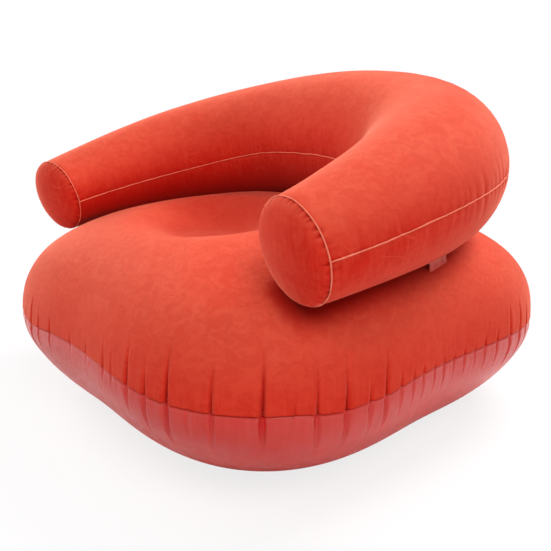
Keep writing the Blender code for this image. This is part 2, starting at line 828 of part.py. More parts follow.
def build_web(name, start, end, seat_top, group, cutters):
    """A strip beside the tube's rest, cut to the faces of the tube and the seat with a weld gap."""
    seat = bmesh.new()
    seat.from_mesh(seat_top.data)
    tree = BVHTree.FromBMesh(seat)
    seat.free()
    shape = bmesh.new()
    columns = []
    for index in range(WEB_STEP_COUNT + 1):
        bottom, top = web_ends(tree, tube_station(blend(start, end, index / WEB_STEP_COUNT)))
        columns.append((shape.verts.new(bottom), shape.verts.new(top)))
    for before, after in zip(columns, columns[1:]):
        shape.faces.new([before[0], after[0], after[1], before[1]])
    web = object_from_bmesh(name, shape, group)
    add_thickness(web, PLAIN_SHEET)
    for cutter in cutters:
        cut(web, cutter)
    paint(web, CLEAR_VINYL, VINYL_ROUGHNESS)


def slab_cutter(source, name, group):
    """A thick copy of a panel's outer face that reaches a weld gap out of it and some way in."""
    slab = bpy.data.objects.new(name, source.data)
    group.objects.link(slab)
    depth = CUT_OVERRUN + WEB_REACH
    add_thickness(slab, depth + WELD_GAP, WELD_GAP / (depth + WELD_GAP))
    as_cutter(slab)
    return slab


# Valves


def valve_frame(corners, out_hint):
    """Matrix of a valve: local Z out of the sheet, local X along the chair's X, local Y up the sheet."""
    centre = sum(corners, Vector((0.0, 0.0, 0.0))) / len(corners)
    across = Vector((1.0, 0.0, 0.0))
    up_sheet = (corners[1] - corners[0]).normalized()
    outward = across.cross(up_sheet).normalized()
    if outward.dot(out_hint) < 0.0:
        across = -across
        outward = -outward
    axes = Matrix((across, up_sheet, outward)).transposed().to_4x4()
    return Matrix.Translation(centre) @ axes


def seat_valve_frame():
    rear = math.pi / 2.0
    half_step = math.pi / SEAT_COARSE_COUNT
    upper, lower = seat_valve_rows()
    points = []
    for row in (lower, upper):
        points.append((seat_point(row, rear - half_step) + seat_point(row, rear + half_step)) / 2.0)
    return valve_frame(points, Vector((0.0, 1.0, -1.0)))


def tube_valve_frame():
    left, right = tube_station(-VALVE_CELL_HALF), tube_station(VALVE_CELL_HALF)
    points = []
    for angle in tube_valve_angles():
        points.append((tube_point(left, angle) + tube_point(right, angle)) / 2.0)
    return valve_frame(points, Vector((0.0, 1.0, -1.0)))


def valve_levels(sheet):
    """Named heights in a valve's own frame."""
    seat_top = VALVE_NECK_HEIGHT + WELD_GAP
    insert_top = seat_top + INSERT_FLANGE_THICKNESS
    plug_end = seat_top - INSERT_PLUG_DEPTH
    return {
        "flange_top": -sheet - WELD_GAP,
        "insert_low": seat_top,
        "insert_top": insert_top,
        "plug_end": plug_end,
        "cap_low": insert_top + WELD_GAP,
        "flap_top": plug_end - WELD_GAP,
        "insert_hinge": seat_top + INSERT_FLANGE_THICKNESS / 2.0,
        "cap_hinge": insert_top + WELD_GAP + CAP_FLANGE_THICKNESS / 2.0,
        "flap_hinge": plug_end - WELD_GAP - FLAP_THICKNESS / 2.0,
    }


def insert_hinge_reach():
    return VALVE_NECK_RADIUS + KNUCKLE_GAP + KNUCKLE_RADIUS + LUG_THICKNESS


def cap_hinge_reach():
    return INSERT_FLANGE_RADIUS - LUG_THICKNESS - KNUCKLE_GAP - KNUCKLE_RADIUS


def flap_hinge_reach():
    return FLAP_RADIUS + 2.0 * KNUCKLE_RADIUS


def box(name, low, high, group):
    """A plain box between two corners, as a mesh with its size applied."""
    shape = bmesh.new()
    bmesh.ops.create_cube(shape, size=1.0)
    middle = (Vector(low) + Vector(high)) / 2.0
    size = Vector(high) - Vector(low)
    for vertex in shape.verts:
        vertex.co = Vector((vertex.co.x * size.x, vertex.co.y * size.y, vertex.co.z * size.z)) + middle
    return object_from_bmesh(name, shape, group)


def knuckle(name, reach, height, group):
    """The round fold of a strap: a rod along local X at a distance up local Y."""
    shape = bmesh.new()
    bmesh.ops.create_cone(
        shape,
        cap_ends=True,
        segments=FOLD_SIDE_COUNT,
        radius1=KNUCKLE_RADIUS,
        radius2=KNUCKLE_RADIUS,
        depth=STRAP_WIDTH,
    )
    bmesh.ops.rotate(shape, verts=shape.verts, matrix=Matrix.Rotation(math.pi / 2.0, 3, "Y"))
    bmesh.ops.translate(shape, verts=shape.verts, vec=Vector((0.0, reach, height)))
    return object_from_bmesh(name, shape, group)


def strap(name, near, far, height, thickness, helpers):
    """A flat strap along local Y from a piece's rim to the fold at its hinge."""
    low = Vector((-STRAP_WIDTH / 2.0, min(near, far), height - thickness / 2.0))
    high = Vector((STRAP_WIDTH / 2.0, max(near, far), height + thickness / 2.0))
    return box(name, low, high, helpers)


def build_valve(prefix, frame, sheet, group, helpers):
    levels = valve_levels(sheet)
    base = build_valve_base(prefix, levels, group)
    base.matrix_world = frame
    tether, tether_parts = build_valve_tether(prefix, levels, group, helpers)
    insert, insert_parts = build_valve_insert(prefix, levels, group, helpers)
    flap, flap_parts = build_valve_flap(prefix, levels, group, helpers)
    cap, cap_parts = build_valve_cap(prefix, levels, group, helpers)
    fused = ((tether, tether_parts), (insert, insert_parts), (flap, flap_parts), (cap, cap_parts))
    for piece, parts in fused:
        piece.matrix_world = frame
        for part in parts:
            part.matrix_world = frame
            as_cutter(part)
            join(piece, part)
    hang_on_hinge(insert, insert_parts, frame, Vector((0.0, insert_hinge_reach(), levels["insert_hinge"])))
    hang_on_hinge(cap, cap_parts, frame, Vector((0.0, -cap_hinge_reach(), levels["cap_hinge"])))
    hang_on_hinge(flap, flap_parts, frame, Vector((0.0, flap_hinge_reach(), levels["flap_hinge"])))
    for piece in (base, insert, cap, tether):
        paint(piece, VALVE_RED, VINYL_ROUGHNESS)
    paint(flap, RUBBER_GREY, RUBBER_ROUGHNESS)


def hang_on_hinge(piece, parts, frame, pivot):
    """Parent a moving piece to an empty that stands on its joint's axis."""
    hinge = bpy.data.objects.new(piece.name + "_hinge", None)
    piece.users_collection[0].objects.link(hinge)
    hinge.empty_display_size = KNUCKLE_RADIUS
    hinge.matrix_world = frame @ Matrix.Translation(pivot)
    for item in [piece] + parts:
        item.parent = hinge
        item.matrix_parent_inverse = (frame @ Matrix.Translation(pivot)).inverted()
        item.matrix_basis = frame
    print(hinge.name, [round(value, 6) for value in frame @ pivot])


def build_valve_base(prefix, levels, group):
    top = levels["flange_top"]
    flange_low = top - VALVE_FLANGE_THICKNESS
    rounding = VALVE_RIM_ROUNDING
    profile = [
        (VALVE_BORE_RADIUS + rounding, VALVE_NECK_HEIGHT),
        (VALVE_NECK_RADIUS - rounding, VALVE_NECK_HEIGHT),
        (VALVE_NECK_RADIUS, VALVE_NECK_HEIGHT - rounding),
        (VALVE_NECK_RADIUS, top),
        (VALVE_FLANGE_RADIUS, top),
        (VALVE_FLANGE_RADIUS, flange_low),
        (VALVE_BORE_RADIUS, flange_low),
        (VALVE_BORE_RADIUS, VALVE_NECK_HEIGHT - rounding),
    ]
    return turned(prefix + "_base", profile, group, True)


def build_valve_tether(prefix, levels, group, helpers):
    inner = VALVE_NECK_RADIUS + WELD_GAP
    outer = inner + TETHER_RING_WALL
    low = WELD_GAP
    high = low + TETHER_RING_THICKNESS
    ring = turned(prefix + "_tether", [(inner, high), (outer, high), (outer, low), (inner, low)], group, True)
    reach = insert_hinge_reach() + KNUCKLE_RADIUS + KNUCKLE_GAP
    half = STRAP_WIDTH / 2.0
    arm = box(
        prefix + "_tether_arm",
        (-half, (inner + outer) / 2.0, low),
        (half, reach + LUG_THICKNESS, high),
        helpers,
    )
    lug = box(
        prefix + "_tether_lug",
        (-half, reach, low),
        (half, reach + LUG_THICKNESS, levels["insert_hinge"] + KNUCKLE_RADIUS),
        helpers,
    )
    return ring, [arm, lug]


def build_valve_insert(prefix, levels, group, helpers):
    low = levels["insert_low"]
    high = levels["insert_top"]
    end = levels["plug_end"]
    top_radius = VALVE_BORE_RADIUS - PLUG_CLEARANCE
    profile = [
        (INSERT_BORE_RADIUS, high),
        (INSERT_FLANGE_RADIUS, high),
        (INSERT_FLANGE_RADIUS, low),
        (top_radius, low),
        (top_radius - INSERT_PLUG_TAPER, end),
        (INSERT_BORE_RADIUS, end),
    ]
    insert = turned(prefix + "_insert", profile, group, True)
    hinge = levels["insert_hinge"]
    arm = strap(
        prefix + "_insert_strap",
        (INSERT_FLANGE_RADIUS + INSERT_BORE_RADIUS) / 2.0,
        insert_hinge_reach(),
        hinge,
        STRAP_THICKNESS,
        helpers,
    )
    fold = knuckle(prefix + "_insert_fold", insert_hinge_reach(), hinge, helpers)
    half = STRAP_WIDTH / 2.0
    inner = -(INSERT_FLANGE_RADIUS - LUG_THICKNESS)
    outer = -(INSERT_FLANGE_RADIUS - LUG_SETBACK)
    lug = box(
        prefix + "_cap_lug",
        (-half, outer, high - INSERT_FLANGE_THICKNESS / 2.0),
        (half, inner, levels["cap_hinge"] + KNUCKLE_RADIUS),
        helpers,
    )
    return insert, [arm, fold, lug]


def build_valve_cap(prefix, levels, group, helpers):
    low = levels["cap_low"]
    high = low + CAP_FLANGE_THICKNESS
    end = low - CAP_PLUG_DEPTH
    plug = INSERT_BORE_RADIUS - PLUG_CLEARANCE
    hollow = plug - CAP_PLUG_TAPER - CAP_PLUG_WALL
    profile = [
        (0.0, high),
        (CAP_FLANGE_RADIUS - CAP_FLANGE_THICKNESS / 2.0, high),
        (CAP_FLANGE_RADIUS, high - CAP_FLANGE_THICKNESS / 2.0),
        (CAP_FLANGE_RADIUS, low),
        (plug, low),
        (plug - CAP_PLUG_TAPER, end),
        (hollow, end),
        (hollow, low),
        (0.0, low),
    ]
    cap = turned(prefix + "_cap", profile, group, False)
    hinge = levels["cap_hinge"]
    reach = -cap_hinge_reach()
    arm = strap(prefix + "_cap_strap", -plug, reach, hinge, STRAP_THICKNESS, helpers)
    fold = knuckle(prefix + "_cap_fold", reach, hinge, helpers)
    return cap, [arm, fold]


def build_valve_flap(prefix, levels, group, helpers):
    high = levels["flap_top"]
    low = high - FLAP_THICKNESS
    profile = [(0.0, high), (FLAP_RADIUS, high), (FLAP_RADIUS, low), (0.0, low)]
    flap = turned(prefix + "_flap", profile, group, False)
    arm = strap(
        prefix + "_flap_tab",
        FLAP_RADIUS / 2.0,
        flap_hinge_reach(),
        levels["flap_hinge"],
        FLAP_THICKNESS,
        helpers,
    )
    return flap, [arm]


def valve_hole(name, frame, group):
    shape = bmesh.new()
    radius = VALVE_NECK_RADIUS + WELD_GAP
    bmesh.ops.create_cone(
        shape,
        cap_ends=True,
        segments=TURN_COUNT,
        radius1=radius,
        radius2=radius,
        depth=2.0 * CUT_OVERRUN,
    )
    hole = object_from_bmesh(name, shape, group)
    hole.matrix_world = frame
    as_cutter(hole)
    return hole


def main():
    clear_scene()
    parts = new_collection("inflatable_armchair")
    cutters = new_collection("cutters")
    seat_top = build_seat_top(parts)
    seat_bottom = build_seat_bottom(parts)
    build_tube_panel("tube_upper_panel", upper_angles(), parts)
    tube_lower = build_tube_panel("tube_lower_panel", lower_angles(), parts)
    build_end_cap("left_end_cap", 1.0, parts)
    build_end_cap("right_end_cap", -1.0, parts)
    build_tie(parts, cutters)
    slabs = []
    for panel in (seat_top, tube_lower):
        slabs.append(slab_cutter(panel, panel.name + "_slab", cutters))
    web_start = TUBE_HALF_LENGTH * (1.0 - SIDE_WEB_START_SHARE)
    web_end = TUBE_HALF_LENGTH * (1.0 - SIDE_WEB_END_SHARE)
    build_web("left_joining_web", web_start, web_end, seat_top, parts, slabs)
    build_web("right_joining_web", -web_end, -web_start, seat_top, parts, slabs)
    build_web("rear_joining_web", REAR_WEB_HALF_LENGTH, -REAR_WEB_HALF_LENGTH, seat_top, parts, slabs)
    valves = (
        ("seat_valve", seat_valve_frame(), PLAIN_SHEET, seat_bottom),
        ("tube_valve", tube_valve_frame(), FLOCKED_SHEET, tube_lower),
    )
    for prefix, frame, sheet, panel in valves:
        cut(panel, valve_hole(prefix + "_hole", frame, cutters))
        build_valve(prefix, frame, sheet, parts, cutters)


main()
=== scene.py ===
"""Looks of the inflatable armchair: flocked and plain vinyl skins, welds, creases, webs and valves.

Metres, +Z up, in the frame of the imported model. The chair faces -Y, the sitter's left arm is at +X.
"""

import json
import math

import bmesh
import bpy
import numpy as np
from mathutils import Matrix, Vector
from mathutils.bvhtree import BVHTree


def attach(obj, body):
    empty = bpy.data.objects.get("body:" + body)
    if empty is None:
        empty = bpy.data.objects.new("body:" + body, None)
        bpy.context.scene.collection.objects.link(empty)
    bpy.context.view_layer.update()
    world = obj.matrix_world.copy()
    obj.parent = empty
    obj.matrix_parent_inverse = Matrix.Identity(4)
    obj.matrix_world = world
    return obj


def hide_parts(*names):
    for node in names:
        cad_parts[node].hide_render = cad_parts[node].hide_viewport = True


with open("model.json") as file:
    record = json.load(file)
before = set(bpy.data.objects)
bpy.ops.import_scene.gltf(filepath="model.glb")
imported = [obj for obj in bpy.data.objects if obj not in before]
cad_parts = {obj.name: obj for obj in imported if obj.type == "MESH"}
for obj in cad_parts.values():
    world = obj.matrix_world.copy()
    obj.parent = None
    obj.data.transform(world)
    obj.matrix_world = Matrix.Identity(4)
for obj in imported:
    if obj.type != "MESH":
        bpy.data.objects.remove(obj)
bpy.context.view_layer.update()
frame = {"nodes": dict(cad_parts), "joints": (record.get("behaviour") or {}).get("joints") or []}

FULL_TURN = 2.0 * math.pi

# Camera of the photograph
IMAGE_SIZE = 551
SENSOR_WIDTH = 36.0
FOCAL_PIXELS = 609.36
CAMERA_AZIMUTH = math.radians(48.592)
CAMERA_ELEVATION = math.radians(14.796)
CAMERA_DISTANCE = 1.390
CAMERA_TARGET = Vector((0.0138, 0.0, 0.2521))

# Seat chamber, as it stands in the frame
SEAT_WIDTH = 1.040
SEAT_DEPTH = 1.018
CROWN_HEIGHT = 0.428
CROWN_SET_BACK = 0.012
WAIST_HEIGHT = 0.186
SEAM_RISE = 0.014
SEAM_CORNER_DIP = 0.008
FLOOR_PATCH_SHARE = 0.632
WAIST_OUTLINE_POWER = 2.9
FLOOR_OUTLINE_POWER = 2.74
CROWN_OUTLINE_POWER = 2.0
CROWN_PROFILE_POWER = 2.5
BELLY_PROFILE_POWER = 1.675
WAIST_DRAWN_SHARE = 0.058
FLOOR_DRAWN_SHARE = 0.042
GATHER_PULL = 0.0035
GATHER_LENGTH_ABOVE = 0.130
GATHER_LENGTH_BELOW = 0.085
DIMPLE_FORWARD = 0.165
DIMPLE_DEPTH = 0.056
DIMPLE_HALF_LENGTH = 0.184
DIMPLE_HALF_WIDTH = 0.222
TIE_DISC_RADIUS = 0.048
FLOCKED_SHEET = 0.0008
PLAIN_SHEET = 0.0006

# Horseshoe tube
ARM_OFFSET = 0.419
ARM_END_OFFSET = 0.412
ARM_END_FORWARD = 0.314
BEND_START_FORWARD = 0.226
BACK_BEND_REACH = 0.468
BACK_BEND_POWER = 2.485
ARM_END_RADIUS = 0.083
BACK_RADIUS = 0.166
ARM_END_HEIGHT = 0.420
BACK_HEIGHT = 0.540
RADIUS_GROWTH_POWER = 1.12
OUTER_SEAM_ANGLE = math.radians(1.0)
INNER_SEAM_ANGLE = math.radians(186.0)
END_CAP_BULGE = 0.0255
TUBE_REST_GAP = 0.0009
REST_SOFTNESS = 0.0080
BEAD_SINK = 0.0006
TUBE_STATION_COUNT = 661
BEND_QUANTILE = 0.88
PUCKER_DEPTH = 0.0036
FULL_PUCKER_DEPTH = 0.0032
SHADE_REACH_INSIDE = 0.110
SHADE_REACH_OUTSIDE = 0.035
TUBE_SHADE_REACH = 0.085
SLIT_STEP = 0.003

# Creases across the seat's weld on the sides that the photograph shows:
# angle in degrees, depth, length above the weld, length below it
SEEN_CREASES = (
    (-113.0, 0.0060, 0.062, 0.075),
    (-108.5, 0.0030, 0.040, 0.060),
    (-102.5, 0.0030, 0.035, 0.050),
    (-92.0, 0.0010, 0.030, 0.030),
    (-84.0, 0.0012, 0.040, 0.025),
    (-76.3, 0.0026, 0.060, 0.030),
    (-73.0, 0.0020, 0.050, 0.030),
    (-67.9, 0.0062, 0.080, 0.055),
    (-63.2, 0.0060, 0.062, 0.085),
    (-58.5, 0.0092, 0.098, 0.105),
    (-54.4, 0.0020, 0.030, 0.060),
    (-50.7, 0.0066, 0.082, 0.082),
    (-43.0, 0.0092, 0.100, 0.088),
    (-38.3, 0.0030, 0.036, 0.032),
    (-34.8, 0.0064, 0.072, 0.092),
    (-29.9, 0.0072, 0.076, 0.102),
    (-25.3, 0.0046, 0.046, 0.088),
    (-21.8, 0.0072, 0.078, 0.096),
    (-18.1, 0.0034, 0.030, 0.078),
    (-14.6, 0.0026, 0.020, 0.072),
    (-11.4, 0.0032, 0.020, 0.068),
    (-7.6, 0.0024, 0.016, 0.062),
    (-4.2, 0.0030, 0.016, 0.064),
    (-0.6, 0.0022, 0.014, 0.052),
    (3.4, 0.0030, 0.016, 0.062),
    (7.2, 0.0022, 0.018, 0.054),
    (11.0, 0.0032, 0.022, 0.064),
    (15.6, 0.0034, 0.026, 0.066),
    (20.9, 0.0062, 0.062, 0.082),
    (25.6, 0.0056, 0.070, 0.084),
    (29.8, 0.0044, 0.050, 0.066),
    (34.4, 0.0034, 0.040, 0.056),
)
# Stretches where the seat's weld hangs lower: angle in degrees, drop, half-width in degrees
WELD_SAGS = (
    (-112.0, 0.007, 7.0),
    (-62.0, 0.004, 12.0),
    (-31.0, 0.008, 5.0),
    (-22.0, 0.006, 6.0),
    (4.0, 0.003, 12.0),
)
UNSEEN_CREASE_COUNT = 31
UNSEEN_CREASE_SEED = 7

# Mesh fineness
PROFILE_SAMPLE_COUNT = 800
COARSE_STEP = 0.009
CREASE_OFFSETS = (0.0010, 0.0020, 0.0031, 0.0044, 0.0060, 0.0082)

# Section of a crease below the weld: two folds with a low ridge between them, offsets as shares of its width
PINCH_OFFSETS = (0.0, 0.20, 0.46, 0.75, 1.05, 1.50)
PINCH_DEPTHS = (0.50, 0.78, 1.00, 0.70, 0.30, 0.0)
FULL_FOLD_DEPTH = 0.0060


def blend(low, high, share):
    return low + (high - low) * share


def clamp(share):
    """The share, held between 0 and 1."""
    return np.clip(share, 0.0, 1.0)


def ease(share):
    """Smooth step from 0 to 1."""
    held = clamp(share)
    return held * held * (3.0 - 2.0 * held)


def turn_from(angle, other):
    """Signed turn between two angles, the short way round."""
    return (angle - other + math.pi) % FULL_TURN - math.pi


def spokes(turns, across, up):
    """Directions at the given turns in the plane of two directions."""
    return np.cos(turns)[:, None] * across + np.sin(turns)[:, None] * up


# Seat chamber


MEAN_RADIUS = (SEAT_WIDTH + SEAT_DEPTH) / 4.0
SEAM_TURN = math.asin((SEAM_RISE / (CROWN_HEIGHT - WAIST_HEIGHT)) ** (CROWN_PROFILE_POWER / 2.0))
ROW_KEYS = ("radius", "height", "power", "drawn", "gather")


def with_lengths(table):
    steps = np.hypot(np.diff(table["radius"]) * MEAN_RADIUS, np.diff(table["height"]))
    table["length"] = np.concatenate([[0.0], np.cumsum(steps)])
    return table


def crown_table():
    """The upper profile from the weld to the crown."""
    turn = np.linspace(SEAM_TURN, math.pi / 2.0, PROFILE_SAMPLE_COUNT)
    radius = np.cos(turn).clip(0.0) ** (2.0 / CROWN_PROFILE_POWER)
    return with_lengths({
        "radius": radius,
        "height": WAIST_HEIGHT + (CROWN_HEIGHT - WAIST_HEIGHT) * np.sin(turn) ** (2.0 / CROWN_PROFILE_POWER),
        "power": blend(CROWN_OUTLINE_POWER, WAIST_OUTLINE_POWER, radius),
        "drawn": WAIST_DRAWN_SHARE * radius,
        "gather": np.full_like(radius, GATHER_LENGTH_ABOVE),
    })


def belly_table():
    """The lower profile from the weld over the waist to the edge of the floor patch."""
    turn = np.linspace(0.0, math.pi / 2.0, PROFILE_SAMPLE_COUNT)
    share = np.cos(turn).clip(0.0) ** (2.0 / BELLY_PROFILE_POWER)
    table = {
        "radius": blend(FLOOR_PATCH_SHARE, 1.0, share),
        "height": WAIST_HEIGHT * (1.0 - np.sin(turn) ** (2.0 / BELLY_PROFILE_POWER)),
        "power": blend(FLOOR_OUTLINE_POWER, WAIST_OUTLINE_POWER, share),
        "drawn": blend(FLOOR_DRAWN_SHARE, WAIST_DRAWN_SHARE, share),
        "gather": np.full_like(turn, GATHER_LENGTH_BELOW),
    }
    seam = {
        "radius": math.cos(SEAM_TURN) ** (2.0 / CROWN_PROFILE_POWER),
        "height": WAIST_HEIGHT + SEAM_RISE,
        "power": WAIST_OUTLINE_POWER,
        "drawn": WAIST_DRAWN_SHARE,
        "gather": GATHER_LENGTH_BELOW,
    }
    for key in ROW_KEYS:
        table[key] = np.concatenate([[seam[key]], table[key]])
    return with_lengths(table)


CROWN = crown_table()
BELLY = belly_table()


def outline(power, drawn, angle):
    reach = (np.abs(np.cos(angle)) ** power + np.abs(np.sin(angle)) ** power) ** (-1.0 / power)
    return reach * (1.0 - drawn * np.cos(2.0 * angle) ** 2)


def weld_sag(angle):
    drop = np.zeros_like(angle)
    for middle, depth, spread in WELD_SAGS:
        off = turn_from(angle, math.radians(middle))
        drop += depth * np.exp(-(off / math.radians(spread)) ** 2)
    return drop


def set_back(height):
    return CROWN_SET_BACK * np.clip(height - WAIST_HEIGHT, 0.0, None) / (CROWN_HEIGHT - WAIST_HEIGHT)


def seat_grid(table, distances, angles):
    """Points of the seat's plain form: one row for each distance along the profile from the weld."""
    row = {key: np.interp(distances, table["length"], table[key])[:, None] for key in ROW_KEYS}
    angle = angles[None, :]
    reach = outline(row["power"], row["drawn"], angle) * row["radius"]
    nearness = clamp(1.0 - distances[:, None] / row["gather"])
    pull = -GATHER_PULL * nearness ** 2
    x = (reach * SEAT_WIDTH / 2.0 + pull) * np.cos(angle)
    y = (reach * SEAT_DEPTH / 2.0 + pull) * np.sin(angle) + set_back(row["height"])
    z = row["height"] - (SEAM_CORNER_DIP * np.sin(2.0 * angle) ** 2 + weld_sag(angle)) * nearness
    return np.stack([x, y, z], axis=-1)


def crown_height(x, y):
    """Height of the seat's plain form at places in plan."""
    low = np.zeros_like(x)
    high = np.ones_like(x)
    for _ in range(40):
        share = (low + high) / 2.0
        rise = (1.0 - share ** CROWN_PROFILE_POWER) ** (1.0 / CROWN_PROFILE_POWER)
        height = blend(WAIST_HEIGHT, CROWN_HEIGHT, rise)
        back = y - set_back(height)
        angle = np.arctan2(back / SEAT_DEPTH, x / SEAT_WIDTH)
        power = blend(CROWN_OUTLINE_POWER, WAIST_OUTLINE_POWER, share)
        reach = share * outline(power, WAIST_DRAWN_SHARE * share, angle)
        reach = reach * np.hypot(SEAT_WIDTH * np.cos(angle), SEAT_DEPTH * np.sin(angle)) / 2.0
        inside = reach < np.hypot(x, back)
        low = np.where(inside, share, low)
        high = np.where(inside, high, share)
    return height


def dimple_edge_share(x, y):
    """0 on the floor of the dimple, which is wider than it is long, and 1 from its edge outwards."""
    away = np.hypot(x * DIMPLE_HALF_LENGTH / DIMPLE_HALF_WIDTH, y + DIMPLE_FORWARD)
    return ease((away - TIE_DISC_RADIUS) / (DIMPLE_HALF_LENGTH - TIE_DISC_RADIUS))


def dimpled_height(x, y):
    floor = crown_height(np.array([0.0]), np.array([-DIMPLE_FORWARD]))[0] - DIMPLE_DEPTH
    return blend(floor, crown_height(x, y), dimple_edge_share(x, y))


def painted_well_shade(points):
    """Share of painted shade on the seat's flock: most in the dimple, some in the well behind it, where the
    tube shades it.
    """
    sunk = 0.50 * (1.0 - dimple_edge_share(points[:, 0], points[:, 1]))
    behind = ease((points[:, 1] + 0.26) / 0.16) * ease((0.38 - np.abs(points[:, 0])) / 0.12)
    return np.maximum(sunk, 0.50 * behind * ease((0.30 - points[:, 1]) / 0.10))


# Creases


def unseen_creases():
    """Creases on the far sides, spaced and sized like the seen ones."""
    draw = np.random.default_rng(UNSEEN_CREASE_SEED)
    start = SEEN_CREASES[-1][0]
    end = SEEN_CREASES[0][0] + 360.0
    gaps = draw.uniform(0.6, 1.4, UNSEEN_CREASE_COUNT + 1)
    places = start + (end - start) * np.cumsum(gaps)[:-1] / gaps.sum()
    creases = []
    for place in places:
        depth = draw.choice((0.0022, 0.0034, 0.0060, 0.0078)) * draw.uniform(0.85, 1.15)
        length = blend(0.020, 0.100, (depth - 0.0019) / 0.0071) * draw.uniform(0.8, 1.2)
        creases.append((place, depth, length, blend(0.055, 0.095, draw.random())))
    return creases


def all_creases():
    creases = np.array(list(SEEN_CREASES) + unseen_creases())
    creases[:, 0] = np.radians(creases[:, 0]) % FULL_TURN
    return creases[np.argsort(creases[:, 0])]


CREASES = all_creases()


def fine_angles():
    """Column angles, close together beside each crease; their count can be halved twice."""
    angles = []
    places = CREASES[:, 0]
    for here, ahead in zip(places, np.append(places[1:], places[0] + FULL_TURN)):
        gap = (ahead - here) * MEAN_RADIUS
        offsets = [offset for offset in CREASE_OFFSETS if offset < gap * 0.45]
        middle = gap - 2.0 * offsets[-1]
        count = max(int(round(middle / COARSE_STEP)), 1)
        inner = [offsets[-1] + middle * index / count for index in range(1, count)]
        reached = [0.0] + offsets + inner + [gap - offset for offset in reversed(offsets)]
        angles += [here + value / MEAN_RADIUS for value in reached]
    angles = np.array(angles)
    while len(angles) % 4:
        spaces = np.diff(np.append(angles, angles[0] + FULL_TURN))
        widest = int(np.argmax(spaces))
        angles = np.insert(angles, widest + 1, angles[widest] + spaces[widest] / 2.0)
    return angles


def crease_depths(distances, angles, above):
    """How far each point lies in below the plain form, from all the creases together."""
    depth_map = np.zeros((len(distances), len(angles)))
    for place, depth, length_above, length_below in CREASES:
        length = length_above if above else length_below
        fade = clamp(1.0 - distances / length)[:, None] ** 1.15
        off = np.abs(turn_from(angles, place)[None, :]) * MEAN_RADIUS
        width = (0.0034 + 0.20 * depth) * (0.60 + 0.40 * fade)
        valley = clamp(1.0 - off / width) ** 1.2
        shoulder = 0.22 * np.exp(-((off - 1.9 * width) / (0.9 * width)) ** 2)
        if not above:
            pinched = np.interp(off / width, PINCH_OFFSETS, PINCH_DEPTHS)
            valley = blend(valley, pinched, ease((distances - 0.002) / 0.014)[:, None])
        depth_map += 0.92 * depth * fade * (valley - shoulder)
    return depth_map


def lobe_heights(distances, angles, above):
    """Swelling between neighbouring creases, used where the cloth isn't simulated."""
    places = np.append(CREASES[:, 0], CREASES[0, 0] + FULL_TURN)
    wrapped = (angles - places[0]) % FULL_TURN + places[0]
    index = np.clip(np.searchsorted(places, wrapped, side="right") - 1, 0, len(places) - 2)
    gap = places[index + 1] - places[index]
    share = (wrapped - places[index]) / gap
    reach = 0.105 if above else 0.095
    fade = clamp(1.0 - distances / reach)[:, None] ** 1.5
    swell = 0.055 * gap * MEAN_RADIUS
    return fade * (swell * (np.sin(math.pi * share) ** 0.8 - 0.6))[None, :]


# Meshes from grids


def new_object(name, data):
    """A new object in the scene."""
    item = bpy.data.objects.new(name, data)
    bpy.context.scene.collection.objects.link(item)
    return item


def grid_normals(points, closed):
    """Unit normals of a grid whose columns run round and whose rows run along, pointing out."""
    along = np.gradient(points, axis=0)
    if closed:
        across = np.roll(points, -1, axis=1) - np.roll(points, 1, axis=1)
    else:
        across = np.gradient(points, axis=1)
    normal = np.cross(across, along)
    return normal / np.maximum(np.linalg.norm(normal, axis=-1, keepdims=True), 1e-12)


class Skin:
    """Vertices and faces of one piece, gathered ring by ring.

    Each vertex also has its distance from the nearest weld, its share of painted shade (0 to 1), for which
    creases, puckers and the places that the tube and the dimple shade are painted darker red, and its place
    in the sheet: the third number runs the way that the sheet is brushed and stretched.
    """

    def __init__(self):
        self.points = []
        self.welds = []
        self.painted_shades = []
        self.flows = []
        self.faces = []

    def ring(self, points, weld=0.0, painted_shade=0.0, flow=None):
        first = len(self.points)
        count = len(points)
        self.points += [tuple(point) for point in points]
        self.welds += list(np.broadcast_to(weld, (count,)))
        self.painted_shades += list(np.broadcast_to(painted_shade, (count,)))
        self.flows += [tuple(place) for place in (points if flow is None else flow)]
        return list(range(first, first + count))

    def bridge(self, outer, inner, flip, closed=True):
        """Faces between rings of equal count, or from a ring to one of half its count."""
        corners = []
        if len(outer) == len(inner):
            count = len(outer)
            for index in range(count if closed else count - 1):
                after = (index + 1) % count
                corners.append((outer[index], outer[after], inner[after], inner[index]))
        else:
            for index in range(len(inner)):
                near = inner[index]
                ahead = inner[(index + 1) % len(inner)]
                first = outer[2 * index]
                second = outer[2 * index + 1]
                third = outer[(2 * index + 2) % len(outer)]
                corners += [(first, second, near), (second, ahead, near), (second, third, ahead)]
        self.faces += [face[::-1] for face in corners] if flip else corners

    def rings(self, rings, flip, closed=True):
        for outer, inner in zip(rings, rings[1:]):
            self.bridge(outer, inner, flip, closed)

    def close(self, ring, flip):
        middle = np.mean([self.points[index] for index in ring], axis=0)
        flow = np.mean([self.flows[index] for index in ring], axis=0)
        centre = self.ring([middle], self.welds[ring[0]], self.painted_shades[ring[0]], [flow])[0]
        for index, start in enumerate(ring):
            face = (start, ring[(index + 1) % len(ring)], centre)
            self.faces.append(face[::-1] if flip else face)

    def build(self, name):
        mesh = bpy.data.meshes.new(name)
        mesh.from_pydata(self.points, [], self.faces)
        mesh.shade_smooth()
        for title, values in (("weld", self.welds), ("painted_shade", self.painted_shades)):
            attribute = mesh.attributes.new(title, "FLOAT", "POINT")
            attribute.data.foreach_set("value", np.array(values, dtype=np.float32))
        attribute = mesh.attributes.new("flow", "FLOAT_VECTOR", "POINT")
        attribute.data.foreach_set("vector", np.array(self.flows, dtype=np.float32).ravel())
        return new_object(name, mesh)


# Horseshoe tube


